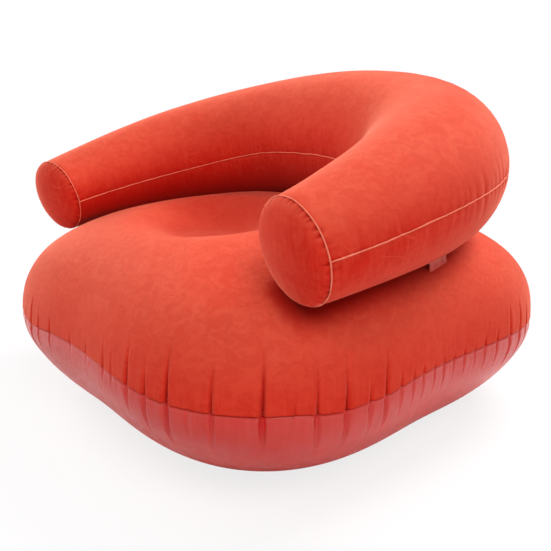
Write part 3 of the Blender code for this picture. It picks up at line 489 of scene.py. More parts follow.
def tube_half_line():
    share = 1.0 - np.arange(400) / 400.0
    straight_x = ARM_OFFSET + (ARM_END_OFFSET - ARM_OFFSET) * share ** 2
    straight_y = -blend(BEND_START_FORWARD, ARM_END_FORWARD, share)
    turn = math.pi / 2.0 * np.arange(801) / 800.0
    bend_x = ARM_OFFSET * np.cos(turn).clip(0.0) ** (2.0 / BACK_BEND_POWER)
    bend_y = -BEND_START_FORWARD + BACK_BEND_REACH * np.sin(turn) ** (2.0 / BACK_BEND_POWER)
    x = np.concatenate([straight_x, bend_x])
    y = np.concatenate([straight_y, bend_y])
    lengths = np.concatenate([[0.0], np.cumsum(np.hypot(np.diff(x), np.diff(y)))])
    return x, y, lengths


TUBE_X, TUBE_Y, TUBE_LENGTHS = tube_half_line()
TUBE_HALF = TUBE_LENGTHS[-1]


def line_at(from_end):
    """Places in plan on the centre line's left half, by their length from the arm's end."""
    return np.interp(from_end, TUBE_LENGTHS, TUBE_X), np.interp(from_end, TUBE_LENGTHS, TUBE_Y)


def tube_stations(along):
    """Centre, directions and radius of the tube at signed lengths from the back's middle."""
    along = np.atleast_1d(np.asarray(along, dtype=float))
    side = np.where(along < 0.0, -1.0, 1.0)
    from_end = np.clip(TUBE_HALF - np.abs(along), 0.0, TUBE_HALF)
    x, y = line_at(from_end)
    reach = 0.004
    before = line_at(np.clip(from_end - reach, 0.0, TUBE_HALF))
    after = line_at(np.clip(from_end + reach, 0.0, TUBE_HALF))
    step_x = before[0] - after[0]
    step_y = before[1] - after[1]
    step_y = np.where(from_end > TUBE_HALF - reach, step_y * (TUBE_HALF - from_end) / reach, step_y)
    size = np.hypot(step_x, step_y)
    forward_x, forward_y = step_x / size, step_y / size
    climb = math.pi / 2.0 * from_end / TUBE_HALF
    growth = np.sin(climb)
    slope = (BACK_HEIGHT - ARM_END_HEIGHT) * math.pi / 2.0 / TUBE_HALF * np.cos(climb)
    outward = np.stack([-side * forward_y, forward_x, np.zeros_like(slope)], axis=-1)
    forward = np.stack([side * forward_x, forward_y, -slope], axis=-1)
    forward = forward / np.linalg.norm(forward, axis=-1, keepdims=True)
    return {
        "centre": np.stack([side * x, y, blend(ARM_END_HEIGHT, BACK_HEIGHT, growth)], axis=-1),
        "outward": outward,
        "forward": forward,
        "up": side[:, None] * np.cross(forward, outward),
        "radius": blend(ARM_END_RADIUS, BACK_RADIUS, growth ** RADIUS_GROWTH_POWER),
    }


def tube_grid(along, angles, proud=0.0):
    """Points of the tube, one row for each station; proud may be a number or a grid."""
    station = tube_stations(along)
    radius = (station["radius"][:, None] + proud)[..., None]
    cosine = np.cos(angles)[None, :, None]
    sine = np.sin(angles)[None, :, None]
    away = cosine * station["outward"][:, None, :] + sine * station["up"][:, None, :]
    return station["centre"][:, None, :] + radius * away


def tube_alongs():
    return np.linspace(-TUBE_HALF, TUBE_HALF, TUBE_STATION_COUNT)


def seam_spaced(start, end, count):
    """Angles from one weld to the other, closer together near both."""
    share = np.linspace(0.0, 1.0, count + 1)
    eased = share - 0.11 * np.sin(FULL_TURN * share)
    return start + (end - start) * eased


UPPER_ANGLES = seam_spaced(OUTER_SEAM_ANGLE, INNER_SEAM_ANGLE, 40)
LOWER_ANGLES = seam_spaced(INNER_SEAM_ANGLE - FULL_TURN, OUTER_SEAM_ANGLE, 40)


def bend_strength(alongs):
    """Curvature of the centre line: 1 along its tightest stretches."""
    forward = tube_stations(alongs)["forward"]
    heading = np.unwrap(np.arctan2(forward[:, 1], forward[:, 0]))
    curve = np.abs(np.gradient(heading, alongs))
    kernel = np.hanning(31)
    curve = np.convolve(np.pad(curve, 15, mode="edge"), kernel / kernel.sum(), mode="valid")
    return clamp(curve / np.quantile(curve, BEND_QUANTILE))


def weld_arcs(alongs, angles):
    """Distances from the outer and the inner weld, round the tube."""
    radius = tube_stations(alongs)["radius"][:, None]
    welds = (OUTER_SEAM_ANGLE, INNER_SEAM_ANGLE)
    return [np.abs(turn_from(angles, weld))[None, :] * radius for weld in welds]


def tube_puckers(alongs, angles):
    """How far the tube's sheet is drawn in: short puckers across the outer weld and at both end rings."""
    draw = np.random.default_rng(11)
    strength = bend_strength(alongs)
    arc, inner_arc = weld_arcs(alongs, angles)
    drawn = np.zeros_like(arc)
    place = -TUBE_HALF + 0.03
    while place < TUBE_HALF - 0.03:
        here = float(np.interp(place, alongs, strength))
        depth = PUCKER_DEPTH * here ** 2 * draw.uniform(0.3, 1.0)
        length = blend(0.018, 0.058, draw.random())
        width = draw.uniform(0.0050, 0.0075)
        side = clamp(1.0 - np.abs(alongs - place) / width)[:, None] ** 1.3
        side = side - 0.3 * np.exp(-((np.abs(alongs - place) - 1.7 * width) / width) ** 2)[:, None]
        drawn += depth * side * clamp(1.0 - arc / length) ** 1.2
        place += draw.uniform(0.012, 0.026)
    for end in (-TUBE_HALF, TUBE_HALF):
        away = np.abs(alongs - end)
        turn = 0.0
        while turn < FULL_TURN - 0.1:
            near = np.abs(turn_from(angles, turn)) * ARM_END_RADIUS
            depth = draw.uniform(0.0007, 0.0020)
            length = draw.uniform(0.010, 0.024)
            valley = clamp(1.0 - near / 0.0052)[None, :] ** 1.3
            drawn += depth * valley * clamp(1.0 - away / length)[:, None]
            turn += draw.uniform(0.10, 0.24)
        drawn += 0.0011 * np.exp(-away / 0.004)[:, None]
    drawn += 0.0012 * np.exp(-arc / 0.0035) + 0.0012 * np.exp(-inner_arc / 0.0035)
    return drawn


def build_tube_skins():
    alongs = tube_alongs()
    pieces = []
    for name, angles, node in (
        ("tube_upper_skin", UPPER_ANGLES, "tube_upper_panel"),
        ("tube_lower_skin", LOWER_ANGLES, "tube_lower_panel"),
    ):
        drawn = tube_puckers(alongs, angles)
        points = tube_grid(alongs, angles, -drawn)
        weld = np.minimum(np.minimum(*weld_arcs(alongs, angles)), TUBE_HALF - np.abs(alongs)[:, None])
        # Painted shade: the tube's flock is painted darker red in its puckers and on its lower side where it
        # comes close to the seat.
        low = points[..., 2] - dimpled_height(points[..., 0], points[..., 1])
        reach = np.where(np.cos(angles)[None, :] < 0.0, SHADE_REACH_INSIDE, SHADE_REACH_OUTSIDE)
        shaded = clamp(1.0 - low / reach) ** 1.3
        painted_shade = np.maximum(clamp(drawn / FULL_PUCKER_DEPTH), shaded)
        arcs = angles[None, :] * tube_stations(alongs)["radius"][:, None]
        flow = np.stack([np.broadcast_to(alongs[:, None], arcs.shape), np.zeros_like(arcs), arcs], axis=-1)
        skin = Skin()
        rings = [skin.ring(*row) for row in zip(points, weld, painted_shade, flow)]
        skin.rings(rings, False, closed=False)
        piece = skin.build(name)
        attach(piece, "chair")
        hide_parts(node)
        pieces.append(piece)
    return pieces


def cap_frame(side):
    """Centre of the end ring, its outward, upward and forward directions and its radius."""
    station = tube_stations(side * TUBE_HALF)
    return [station[key][0] for key in ("centre", "outward", "up", "forward", "radius")]


def build_end_cap(name, side, node, seed):
    """A round panel domed by the air, with short puckers just inside its weld."""
    draw = np.random.default_rng(seed)
    centre, outward, up, forward, radius = cap_frame(side)
    turns = np.arange(144) * FULL_TURN / 144.0
    leans = np.radians(np.concatenate([np.linspace(90.0, 60.0, 13), np.linspace(56.0, 4.0, 14)]))
    puckers = []
    turn = 0.0
    while turn < FULL_TURN - 0.1:
        puckers.append((turn, draw.uniform(0.0011, 0.0030), draw.uniform(0.012, 0.026)))
        turn += draw.uniform(0.09, 0.17)
    skin = Skin()
    rings = []
    for lean in leans:
        from_rim = radius * (1.0 - math.sin(lean)) + END_CAP_BULGE * math.cos(lean) * 0.5
        drawn = np.zeros_like(turns)
        for place, depth, length in puckers:
            near = np.abs(turn_from(turns, place)) * radius
            drawn += depth * clamp(1.0 - near / 0.0050) ** 1.3 * max(1.0 - from_rim / length, 0.0)
        drawn += 0.0010 * math.exp(-from_rim / 0.004)
        ring_radius = radius * math.sin(lean) - drawn * math.sin(lean)
        reach = END_CAP_BULGE * math.cos(lean) - drawn * math.cos(lean) + 0.0012
        ring = centre + ring_radius[:, None] * spokes(turns, outward, up) + reach[:, None] * forward
        # Painted shade: the cap's flock is painted darker red in its puckers.
        rings.append(skin.ring(ring, from_rim, clamp(drawn / 0.0030)))
    flip = side < 0.0
    skin.rings(rings, flip)
    skin.close(rings[-1], flip)
    cap = skin.build(name)
    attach(cap, "chair")
    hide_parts(node)
    return cap


def tube_weld_line(angle):
    """Centres, outward directions and sideways directions along a weld of the tube."""
    alongs = tube_alongs()
    station = tube_stations(alongs)
    outs = math.cos(angle) * station["outward"] + math.sin(angle) * station["up"]
    sides = -math.sin(angle) * station["outward"] + math.cos(angle) * station["up"]
    return tube_grid(alongs, np.array([angle]), -BEAD_SINK)[:, 0], outs, sides


def ring_weld_line(side):
    """The same round an end cap."""
    centre, outward, up, forward, radius = cap_frame(side)
    outs = spokes(np.arange(180) * FULL_TURN / 180.0, outward, up)
    centres = centre + (radius - BEAD_SINK) * outs + forward * BEAD_SINK
    return centres, outs, np.broadcast_to(forward, outs.shape)


def build_weld(name, line, seed, width, height, flip, looped=False):
    """The pressed edge of a weld: a low rounded rib that wanders slightly."""
    centres, outs, sides = line
    draw = np.random.default_rng(seed)
    turn = np.arange(12) * FULL_TURN / 12.0
    count = len(centres)
    wander = np.convolve(draw.normal(0.0, 1.0, count + 10), np.ones(11) / 11.0, mode="valid")
    swell = np.convolve(draw.normal(0.0, 1.0, count + 6), np.ones(7) / 7.0, mode="valid")
    skin = Skin()
    rings = []
    for index in range(count):
        half = width / 2.0 * (1.0 + 0.22 * swell[index])
        top = height * (1.0 + 0.25 * swell[index])
        centre = centres[index] + sides[index] * 0.0009 * wander[index]
        across = np.cos(turn)[:, None] * half * sides[index]
        proud = np.sin(turn)[:, None] * top * outs[index]
        rings.append(skin.ring(centre + across + proud, 1.0))
    if looped:
        rings.append(rings[0])
    else:
        skin.close(rings[0], not flip)
        skin.close(rings[-1], flip)
    skin.rings(rings, flip)
    weld = skin.build(name)
    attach(weld, "chair")
    return weld


# Seat skins, with a groove just below the weld

GROOVE_DISTANCES = (0.0, 0.0016, 0.0034, 0.0056, 0.0079)
GROOVE_DEPTHS = (0.0028, 0.0008, -0.0004, -0.0006, 0.0)

# Air pressure on the slack sheet: reach of the band to each side of the weld, its steps, and its cloth
BAND_REACH = 0.200
BAND_BORDER = 0.185
SLACK_REACH = 0.115
LEAST_HOLD = 0.03
LARGEST_SWELL = 0.012
LAST_FRAME = 22
CLOTH_SETTINGS = {
    "quality": 6,
    "mass": 0.35,
    "tension_stiffness": 20.0,
    "compression_stiffness": 20.0,
    "shear_stiffness": 8.0,
    "bending_stiffness": 0.6,
    "use_pressure": True,
    "uniform_pressure_force": 5.0,
    "vertex_group_mass": "pinned",
    "pin_stiffness": 3.0,
    "vertex_group_shrink": "slack",
    "shrink_min": 0.0,
    "shrink_max": -0.028,
}


def surface_tree(pieces):
    """Several pieces as one surface for rays to meet."""
    points = []
    faces = []
    for piece in pieces:
        first = len(points)
        points += [vertex.co.copy() for vertex in piece.data.vertices]
        faces += [[first + index for index in polygon.vertices] for polygon in piece.data.polygons]
    return BVHTree.FromPolygons(points, faces)


def tube_underside(tree, x, y):
    """Height of the tube's lowest surface over a place and just beside it, past the slit at the end rings."""
    lowest = None
    for step in (-SLIT_STEP, 0.0, SLIT_STEP):
        hit = tree.ray_cast(Vector((x, y + step, -1.0)), Vector((0.0, 0.0, 1.0)))[0]
        if hit is not None:
            lowest = hit.z if lowest is None else min(lowest, hit.z)
    return lowest


def press_under(points, tree):
    """Lower points that the tube rests on, with a soft edge, and give each a share of painted shade: darker
    the closer the tube's underside lies above it.
    """
    pressed = points.copy()
    flat = pressed.reshape(-1, 3)
    tube_shade = np.zeros(len(flat))
    for index in range(len(flat)):
        x, y, z = flat[index]
        underside = tube_underside(tree, x, y)
        if underside is None:
            continue
        limit = underside - TUBE_REST_GAP
        # Painted shade: the closer the tube's underside above, the darker the flock is painted.
        tube_shade[index] = clamp(1.0 - (limit - z) / TUBE_SHADE_REACH) ** 1.5
        over = (z - limit) / REST_SOFTNESS
        if over > 30.0:
            flat[index, 2] = limit
        elif over > -12.0:
            flat[index, 2] = z - REST_SOFTNESS * math.log1p(math.exp(over))
    return pressed, tube_shade.reshape(points.shape[:-1])


def cubic(values, places, wanted):
    """Cubic reading of rows of values between uneven places."""
    slope = np.gradient(values, places, axis=0)
    index = np.clip(np.searchsorted(places, wanted, side="right") - 1, 0, len(places) - 2)
    span = (places[index + 1] - places[index])[:, None]
    share = ((wanted - places[index])[:, None]) / span
    rest = 1.0 - share
    start = (1.0 + 2.0 * share) * rest ** 2 * values[index] + share * rest ** 2 * span * slope[index]
    end = share ** 2 * (3.0 - 2.0 * share) * values[index + 1] - share ** 2 * rest * span * slope[index + 1]
    return start + end


def simulation_angles():
    angles = []
    places = CREASES[:, 0]
    pins = []
    for here, ahead in zip(places, np.append(places[1:], places[0] + FULL_TURN)):
        count = max(int(round((ahead - here) * MEAN_RADIUS / 0.0105)), 2)
        pins.append(len(angles))
        angles += [here + (ahead - here) * index / count for index in range(count)]
    return np.array(angles), pins


def simulate_lobes():
    """Air pressure on the seat's band of slack sheet, held along its creases: heights over the plain form."""
    angles, pins = simulation_angles()
    below = np.linspace(BAND_REACH, 0.0, 21)[:-1]
    above = np.linspace(0.0, BAND_REACH, 21)
    places = np.concatenate([-below, above])
    plain = np.concatenate([seat_grid(BELLY, below, angles), seat_grid(CROWN, above, angles)])
    normals = grid_normals(plain, True)
    rows, columns = plain.shape[:2]
    skin = Skin()
    rings = [skin.ring(row) for row in plain]
    skin.rings(rings, False)
    band = skin.build("seat_band")
    slack = band.vertex_groups.new(name="slack")
    pinned = band.vertex_groups.new(name="pinned")
    crease_at = dict(zip(pins, CREASES))
    for row in range(rows):
        place = places[row]
        weight = float(ease(1.0 - abs(place) / SLACK_REACH))
        slack.add(rings[row], weight, "REPLACE")
        border = abs(place) > BAND_BORDER
        for column in range(columns):
            hold = 1.0 if border else LEAST_HOLD
            if column in crease_at and not border:
                _angle, depth, length_above, length_below = crease_at[column]
                length = length_above if place >= 0.0 else length_below
                reached = clamp(1.3 - abs(place) / length)
                hold = max(hold, float(reached * np.clip(depth / 0.0060, 0.15, 1.0)))
            pinned.add([rings[row][column]], hold, "REPLACE")
    cloth = band.modifiers.new("air", "CLOTH")
    for key, value in CLOTH_SETTINGS.items():
        setattr(cloth.settings, key, value)
    cloth.settings.effector_weights.gravity = 0.0
    cloth.collision_settings.use_collision = False
    cloth.point_cache.frame_start = 1
    cloth.point_cache.frame_end = LAST_FRAME
    scene = bpy.context.scene
    for number in range(1, LAST_FRAME + 1):
        scene.frame_set(number)
    shaped = band.evaluated_get(bpy.context.evaluated_depsgraph_get())
    coordinates = np.empty(rows * columns * 3, dtype=np.float32)
    shaped.data.vertices.foreach_get("co", coordinates)
    scene.frame_set(1)
    moved = coordinates.reshape(rows, columns, 3) - plain
    heights = np.einsum("ijk,ijk->ij", moved, normals)
    bpy.data.objects.remove(band, do_unlink=True)
    heights = np.clip(heights, -LARGEST_SWELL, LARGEST_SWELL)
    around = np.concatenate([heights[:, -60:], heights, heights[:, :60]], axis=1)
    steps = np.concatenate([angles[-60:] - FULL_TURN, angles, angles[:60] + FULL_TURN])
    mean = np.empty_like(heights)
    for column in range(columns):
        near = np.exp(-((steps - angles[column]) / 0.16) ** 2)
        mean[:, column] = around @ near / near.sum()
    return places, angles, heights - mean


def read_lobes(lobes, distances, angles, above):
    """Simulated heights at the fine grid's places."""
    places, coarse, heights = lobes
    signed = distances if above else -distances
    rows = cubic(heights, places, np.clip(signed, places[0], places[-1]))
    wrapped = (angles - coarse[0]) % FULL_TURN + coarse[0]
    extended = np.concatenate([coarse[-3:] - FULL_TURN, coarse, coarse[:3] + FULL_TURN])
    wide = np.concatenate([rows[:, -3:], rows, rows[:, :3]], axis=1)
    read = cubic(wide.T, extended, wrapped).T
    return read * ease((places[-1] - distances) / 0.05)[:, None]


def graded(first, growth, widest, end):
    """Distances from the weld whose steps grow from first to widest."""
    distances = [0.0]
    step = first
    while distances[-1] + step < end:
        distances.append(distances[-1] + step)
        step = min(step * growth, widest)
    distances.append(end)
    return np.array(distances)


def formed_rows(table, distances, angles, lobes, above):
    """The seat's surface with lobes and creases, its normals and the depth of the creases."""
    plain = seat_grid(table, distances, angles)
    normals = grid_normals(plain if above else plain[::-1], True)
    if not above:
        normals = normals[::-1]
    if lobes is None:
        height = lobe_heights(distances, angles, above)
    else:
        height = read_lobes(lobes, distances, angles, above)
    depth = crease_depths(distances, angles, above)
    return plain + normals * (height - depth)[..., None], normals, depth


def sheet_places(angles, distance, share=1.0):
    """Places in the seat's sheet along one ring: round the seat, then away from the weld."""
    reach = MEAN_RADIUS * share
    return np.stack([reach * np.cos(angles), reach * np.sin(angles), np.full_like(angles, distance)], axis=-1)


def build_seat_top(lobes, tree):
    angles = fine_angles()
    distances = graded(0.0016, 1.16, 0.0085, GATHER_LENGTH_ABOVE)
    points, normals, depth = formed_rows(CROWN, distances, angles, lobes, True)
    # Painted shade: the seat's flock is painted darker red in its creases.
    painted_shades = clamp(depth / FULL_FOLD_DEPTH)
    points = points + normals * (0.0012 * np.exp(-distances / 0.012))[:, None, None]
    skin = Skin()
    tucked = points[0] - normals[0] * 0.0030
    rings = [skin.ring(tucked, 0.0, painted_shades[0], sheet_places(angles, 0.0))]
    # Painted shade under the tube, where it rests close above the seat.
    pressed, tube_shade = press_under(points, tree)
    for row, distance, painted_shade in zip(pressed, distances, np.maximum(painted_shades, tube_shade)):
        rings.append(skin.ring(row, distance, painted_shade, sheet_places(angles, distance)))
    edge = points[-1][::2]
    disc = np.stack([
        TIE_DISC_RADIUS * np.cos(angles[::2]),
        TIE_DISC_RADIUS * np.sin(angles[::2]) - DIMPLE_FORWARD,
        np.zeros(len(edge)),
    ], axis=-1)
    for number, share in enumerate(np.linspace(1.0, 0.0, 54)[1:]):
        step = 2 if number > 26 else 1
        ring = blend(disc, edge, share)[::step]
        ring[:, 2] = dimpled_height(ring[:, 0], ring[:, 1])
        ring, tube_shade = press_under(ring, tree)
        distance = GATHER_LENGTH_ABOVE + (1.0 - share) * (MEAN_RADIUS - GATHER_LENGTH_ABOVE)
        flow = sheet_places(angles[::2][::step], distance, blend(0.40, 1.0, share))
        # Painted shade in the dimple and in the well behind it, and under the tube.
        rings.append(skin.ring(ring, GATHER_LENGTH_ABOVE, np.maximum(tube_shade, painted_well_shade(ring)), flow))
    middle = np.array([0.0, -DIMPLE_FORWARD, 0.0])
    for share in (0.75, 0.5, 0.25):
        ring = blend(middle, disc, share)[::2]
        ring[:, 2] = dimpled_height(ring[:, 0], ring[:, 1])
        flow = sheet_places(angles[::4], MEAN_RADIUS, 0.40 * share)
        rings.append(skin.ring(ring, GATHER_LENGTH_ABOVE, painted_well_shade(ring), flow))
    skin.rings(rings, False)
    skin.close(rings[-1], False)
    seat = skin.build("seat_top_skin")
    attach(seat, "chair")
    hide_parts("seat_top_panel")
    return seat


def build_seat_bottom(lobes):
    angles = fine_angles()
    distances = graded(0.0016, 1.14, 0.0085, BELLY["length"][-1])
    points, normals, depth = formed_rows(BELLY, distances, angles, lobes, False)
    # Painted shade: the vinyl is painted darker red in its creases.
    painted_shades = clamp(depth / FULL_FOLD_DEPTH)
    groove = np.interp(distances, GROOVE_DISTANCES, GROOVE_DEPTHS)
    points = points - normals * (0.0008 * np.exp(-distances / 0.010) + groove)[:, None, None]
    points[..., 2] = np.maximum(points[..., 2], 0.0)
    skin = Skin()
    hidden = seat_grid(CROWN, np.array([0.006]), angles)[0] - normals[0] * 0.0040
    rings = [skin.ring(hidden, 0.0, painted_shades[0], sheet_places(angles, 0.0))]
    for row, distance, painted_shade in zip(points, distances, painted_shades):
        rings.append(skin.ring(row, distance, painted_shade, sheet_places(angles, distance)))
    last = points[-1][::2]
    for number, share in enumerate((0.97, 0.90, 0.78, 0.62, 0.45, 0.28, 0.12)):
        step = 2 if number > 1 else 1
        ring = (last * (share, share, 0.0))[::step]
        flow = sheet_places(angles[::2][::step], distances[-1] + 0.3 * (1.0 - share), share)
        rings.append(skin.ring(ring, distances[-1], 0.0, flow))
    skin.rings(rings, True)
    skin.close(rings[-1], True)
    seat = skin.build("seat_bottom_skin")
    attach(seat, "chair")
    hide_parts("seat_bottom_panel")
    return seat


# Webs

WEB_START_SHARE = 0.352
WEB_END_SHARE = 0.425
REAR_WEB_HALF = 0.062
WEB_HEIGHT = 0.029
WEB_REACH = 0.004
WEB_DRAWN_IN = 0.0030
WEB_RIPPLE = 0.0002


def drop(tree, point):
    """The surface straight below a place, met from high above."""
    return tree.ray_cast(Vector((point[0], point[1], 1.0)), Vector((0.0, 0.0, -1.0)))[0]


def web_ends(tree, along):
    """Lower and upper end of the web where the gap beside the tube's rest has opened to its height."""
    near, far = -math.pi / 2.0, 0.0
    for _ in range(30):
        middle = (near + far) / 2.0
        point = tube_grid([along], np.array([middle]))[0, 0]
        hit = drop(tree, point)
        if hit is not None and point[2] - hit.z < WEB_HEIGHT:
            near = middle
        else:
            far = middle
    top = tube_grid([along], np.array([near]), -WEB_REACH)[0, 0]
    hit = drop(tree, top)
    return np.array([top[0], top[1], hit.z - WEB_REACH]), top


def build_web(name, start, end, tree, node):
    """A strip of clear vinyl, pulled taut from the seat to the tube and drawn in halfway up."""
    skin = Skin()
    rings = []
    for along in np.linspace(start, end, 29):
        bottom, top = web_ends(tree, along)
        outward = tube_stations(along)["outward"][0]
        column = []
        for share in np.linspace(0.0, 1.0, 11):
            drawn = WEB_DRAWN_IN * math.sin(math.pi * share)
            ripple = WEB_RIPPLE * math.sin(along * 260.0) * math.sin(math.pi * share)
            column.append(blend(bottom, top, share) - (drawn + ripple) * outward)
        rings.append(skin.ring(column))
    skin.rings(rings, False, closed=False)
    web = skin.build(name)
    thickness = web.modifiers.new("thickness", "SOLIDIFY")
    thickness.thickness = PLAIN_SHEET
    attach(web, "chair")
    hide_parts(node)
    return web


# Valves

NECK_RADIUS = 0.0190
NECK_HEIGHT = 0.0060
BORE_RADIUS = 0.0160
FLANGE_RADIUS = 0.0265
FLANGE_THICKNESS = 0.0012
WELD_GAP = 0.0003
INSERT_FLANGE_RADIUS = 0.0185
INSERT_FLANGE_THICKNESS = 0.0018
INSERT_PLUG_DEPTH = 0.0100
INSERT_BORE_RADIUS = 0.0085
INSERT_TAPER = 0.0024
PLUG_CLEARANCE = 0.0002
CAP_RADIUS = 0.0115
CAP_THICKNESS = 0.0016
CAP_PLUG_DEPTH = 0.0060
CAP_WALL = 0.0014
CAP_TAPER = 0.0012
FLAP_RADIUS = 0.0105
FLAP_THICKNESS = 0.0008
STRAP_WIDTH = 0.0070
STRAP_THICKNESS = 0.0012
FOLD_RADIUS = 0.0009
FOLD_GAP = 0.0004
LUG_THICKNESS = 0.0022
LUG_SETBACK = 0.0005
TETHER_WALL = 0.0022
TETHER_THICKNESS = 0.0016
VALVE_SIDES = 72

INSERT_LOW = NECK_HEIGHT + WELD_GAP
INSERT_TOP = INSERT_LOW + INSERT_FLANGE_THICKNESS
PLUG_END = INSERT_LOW - INSERT_PLUG_DEPTH
CAP_LOW = INSERT_TOP + WELD_GAP
FLAP_TOP = PLUG_END - WELD_GAP
INSERT_HINGE_Y = NECK_RADIUS + FOLD_GAP + FOLD_RADIUS + LUG_THICKNESS
INSERT_HINGE_Z = INSERT_LOW + INSERT_FLANGE_THICKNESS / 2.0
CAP_HINGE_Y = -(INSERT_FLANGE_RADIUS - LUG_THICKNESS - FOLD_GAP - FOLD_RADIUS)
CAP_HINGE_Z = CAP_LOW + CAP_THICKNESS / 2.0
FLAP_HINGE_Y = FLAP_RADIUS + 2.0 * FOLD_RADIUS


def joint_place(name):
    for joint in frame["joints"]:
        if joint["name"] == name:
            return Vector(joint["pos_m"])
    raise KeyError(name)


def valve_matrix(prefix):
    """The valve's own frame, from its two hinges: local Z out of the sheet, local Y up the sheet."""
    insert = joint_place(prefix + "_insert_swing")
    cap = joint_place(prefix + "_cap_swing")
    step = insert - cap
    lean = math.atan2(INSERT_HINGE_Z - CAP_HINGE_Z, INSERT_HINGE_Y - CAP_HINGE_Y)
    turn = math.atan2(step.z, step.y) + lean
    up_sheet = Vector((0.0, math.cos(turn), math.sin(turn)))
    out = Vector((0.0, math.sin(turn), -math.cos(turn)))
    across = up_sheet.cross(out)
    centre = insert - up_sheet * INSERT_HINGE_Y - out * INSERT_HINGE_Z
    return Matrix.Translation(centre) @ Matrix((across, up_sheet, out)).transposed().to_4x4()


def rounded(profile, radius, closed):
    """A profile with its corners rounded off by short arcs."""
    points = [Vector(point) for point in profile]
    count = len(points)
    result = []
    for index, corner in enumerate(points):
        if not closed and index in (0, count - 1):
            result.append(corner)
            continue
        before = points[index - 1] - corner
        after = points[(index + 1) % count] - corner
        reach = min(radius, before.length * 0.45, after.length * 0.45)
        start = corner + before.normalized() * reach
        end = corner + after.normalized() * reach
        for share in (0.0, 0.25, 0.5, 0.75, 1.0):
            rest = 1.0 - share
            result.append(start * rest ** 2 + corner * (2.0 * rest * share) + end * share ** 2)
    return result


def lathe(profile, closed, radius=0.0003, flutes=0, flute_depth=0.0):
    """A bmesh turned about local Z from (radius, height) points listed down the outer side."""
    shape = bmesh.new()
    rings = []
    for reach, height in rounded(profile, radius, closed):
        if reach < 1e-6:
            rings.append([shape.verts.new((0.0, 0.0, height))])
            continue
        ring = []
        for index in range(VALVE_SIDES):
            turn = FULL_TURN * index / VALVE_SIDES
            dent = flute_depth * (0.5 + 0.5 * math.cos(flutes * turn)) if flutes else 0.0
            held = reach - (dent if reach > 0.98 * max(point[0] for point in profile) else 0.0)
            ring.append(shape.verts.new((held * math.cos(turn), held * math.sin(turn), height)))
        rings.append(ring)
    pairs = list(zip(rings, rings[1:]))
    if closed:
        pairs.append((rings[-1], rings[0]))
    for upper, lower in pairs:
        for index in range(VALVE_SIDES):
            after = (index + 1) % VALVE_SIDES
            if len(upper) == 1:
                shape.faces.new((upper[0], lower[index], lower[after]))
            elif len(lower) == 1:
                shape.faces.new((upper[after], upper[index], lower[0]))
            else:
                shape.faces.new((upper[after], upper[index], lower[index], lower[after]))
    return shape


def add_slab(shape, low, high, bevel=0.0003):
    """A box with rounded edges between two corners."""
    low = Vector(low)
    high = Vector(high)
    size = high - low
    matrix = Matrix.Translation((low + high) / 2.0) @ Matrix.Diagonal((*size, 1.0))
    corners = bmesh.ops.create_cube(shape, size=1.0, matrix=matrix)["verts"]
    edges = list({edge for corner in corners for edge in corner.link_edges})
    bmesh.ops.bevel(shape, geom=edges, offset=bevel, segments=3, profile=0.5, affect="EDGES")


def add_fold(shape, reach, height):
    """The rounded bend of a moulded strap, across the valve at its hinge."""
    matrix = Matrix.Translation((0.0, reach, height)) @ Matrix.Rotation(math.pi / 2.0, 4, "Y")
    bmesh.ops.create_cone(
        shape,
        cap_ends=True,
        segments=24,
        radius1=FOLD_RADIUS,
        radius2=FOLD_RADIUS,
        depth=STRAP_WIDTH,
        matrix=matrix,
    )


def place_valve_piece(name, shape, matrix, body, node):
    mesh = bpy.data.meshes.new(name)
    shape.transform(matrix)
    bmesh.ops.recalc_face_normals(shape, faces=shape.faces)
    shape.to_mesh(mesh)
    shape.free()
    mesh.shade_smooth()
    mesh.set_sharp_from_angle(angle=math.radians(50.0))
    piece = new_object(name, mesh)
    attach(piece, body)
    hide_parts(node)
    return piece


def valve_base(sheet):
    top = -sheet - WELD_GAP
    low = top - FLANGE_THICKNESS
    return lathe([
        (BORE_RADIUS, NECK_HEIGHT),
        (NECK_RADIUS, NECK_HEIGHT),
        (NECK_RADIUS, top),
        (FLANGE_RADIUS, top),
        (FLANGE_RADIUS, low),
        (BORE_RADIUS, low),
    ], True, 0.0007)


def valve_tether():
    inner = NECK_RADIUS + WELD_GAP
    outer = inner + TETHER_WALL
    low = WELD_GAP
    high = low + TETHER_THICKNESS
    shape = lathe([(inner, high), (outer, high), (outer, low), (inner, low)], True, 0.0005)
    reach = INSERT_HINGE_Y + FOLD_RADIUS + FOLD_GAP
    half = STRAP_WIDTH / 2.0
    add_slab(shape, (-half, (inner + outer) / 2.0, low), (half, reach + LUG_THICKNESS, high), 0.0004)
    add_slab(shape, (-half, reach, low), (half, reach + LUG_THICKNESS, INSERT_HINGE_Z + FOLD_RADIUS), 0.0005)
    return shape


def valve_insert():
    plug = BORE_RADIUS - PLUG_CLEARANCE
    shape = lathe([
        (INSERT_BORE_RADIUS, INSERT_TOP),
        (INSERT_FLANGE_RADIUS, INSERT_TOP),
        (INSERT_FLANGE_RADIUS, INSERT_LOW),
        (plug, INSERT_LOW),
        (plug - INSERT_TAPER, PLUG_END),
        (INSERT_BORE_RADIUS, PLUG_END),
    ], True, 0.0005, 36, 0.0003)
    half = STRAP_WIDTH / 2.0
    near = (INSERT_FLANGE_RADIUS + INSERT_BORE_RADIUS) / 2.0
    low = INSERT_HINGE_Z - STRAP_THICKNESS / 2.0
    add_slab(shape, (-half, near, low), (half, INSERT_HINGE_Y, low + STRAP_THICKNESS))
    add_fold(shape, INSERT_HINGE_Y, INSERT_HINGE_Z)
    outer = -(INSERT_FLANGE_RADIUS - LUG_SETBACK)
    inner = -(INSERT_FLANGE_RADIUS - LUG_THICKNESS)
    lug_low = INSERT_TOP - INSERT_FLANGE_THICKNESS / 2.0
    add_slab(shape, (-half, outer, lug_low), (half, inner, CAP_HINGE_Z + FOLD_RADIUS))
    return shape


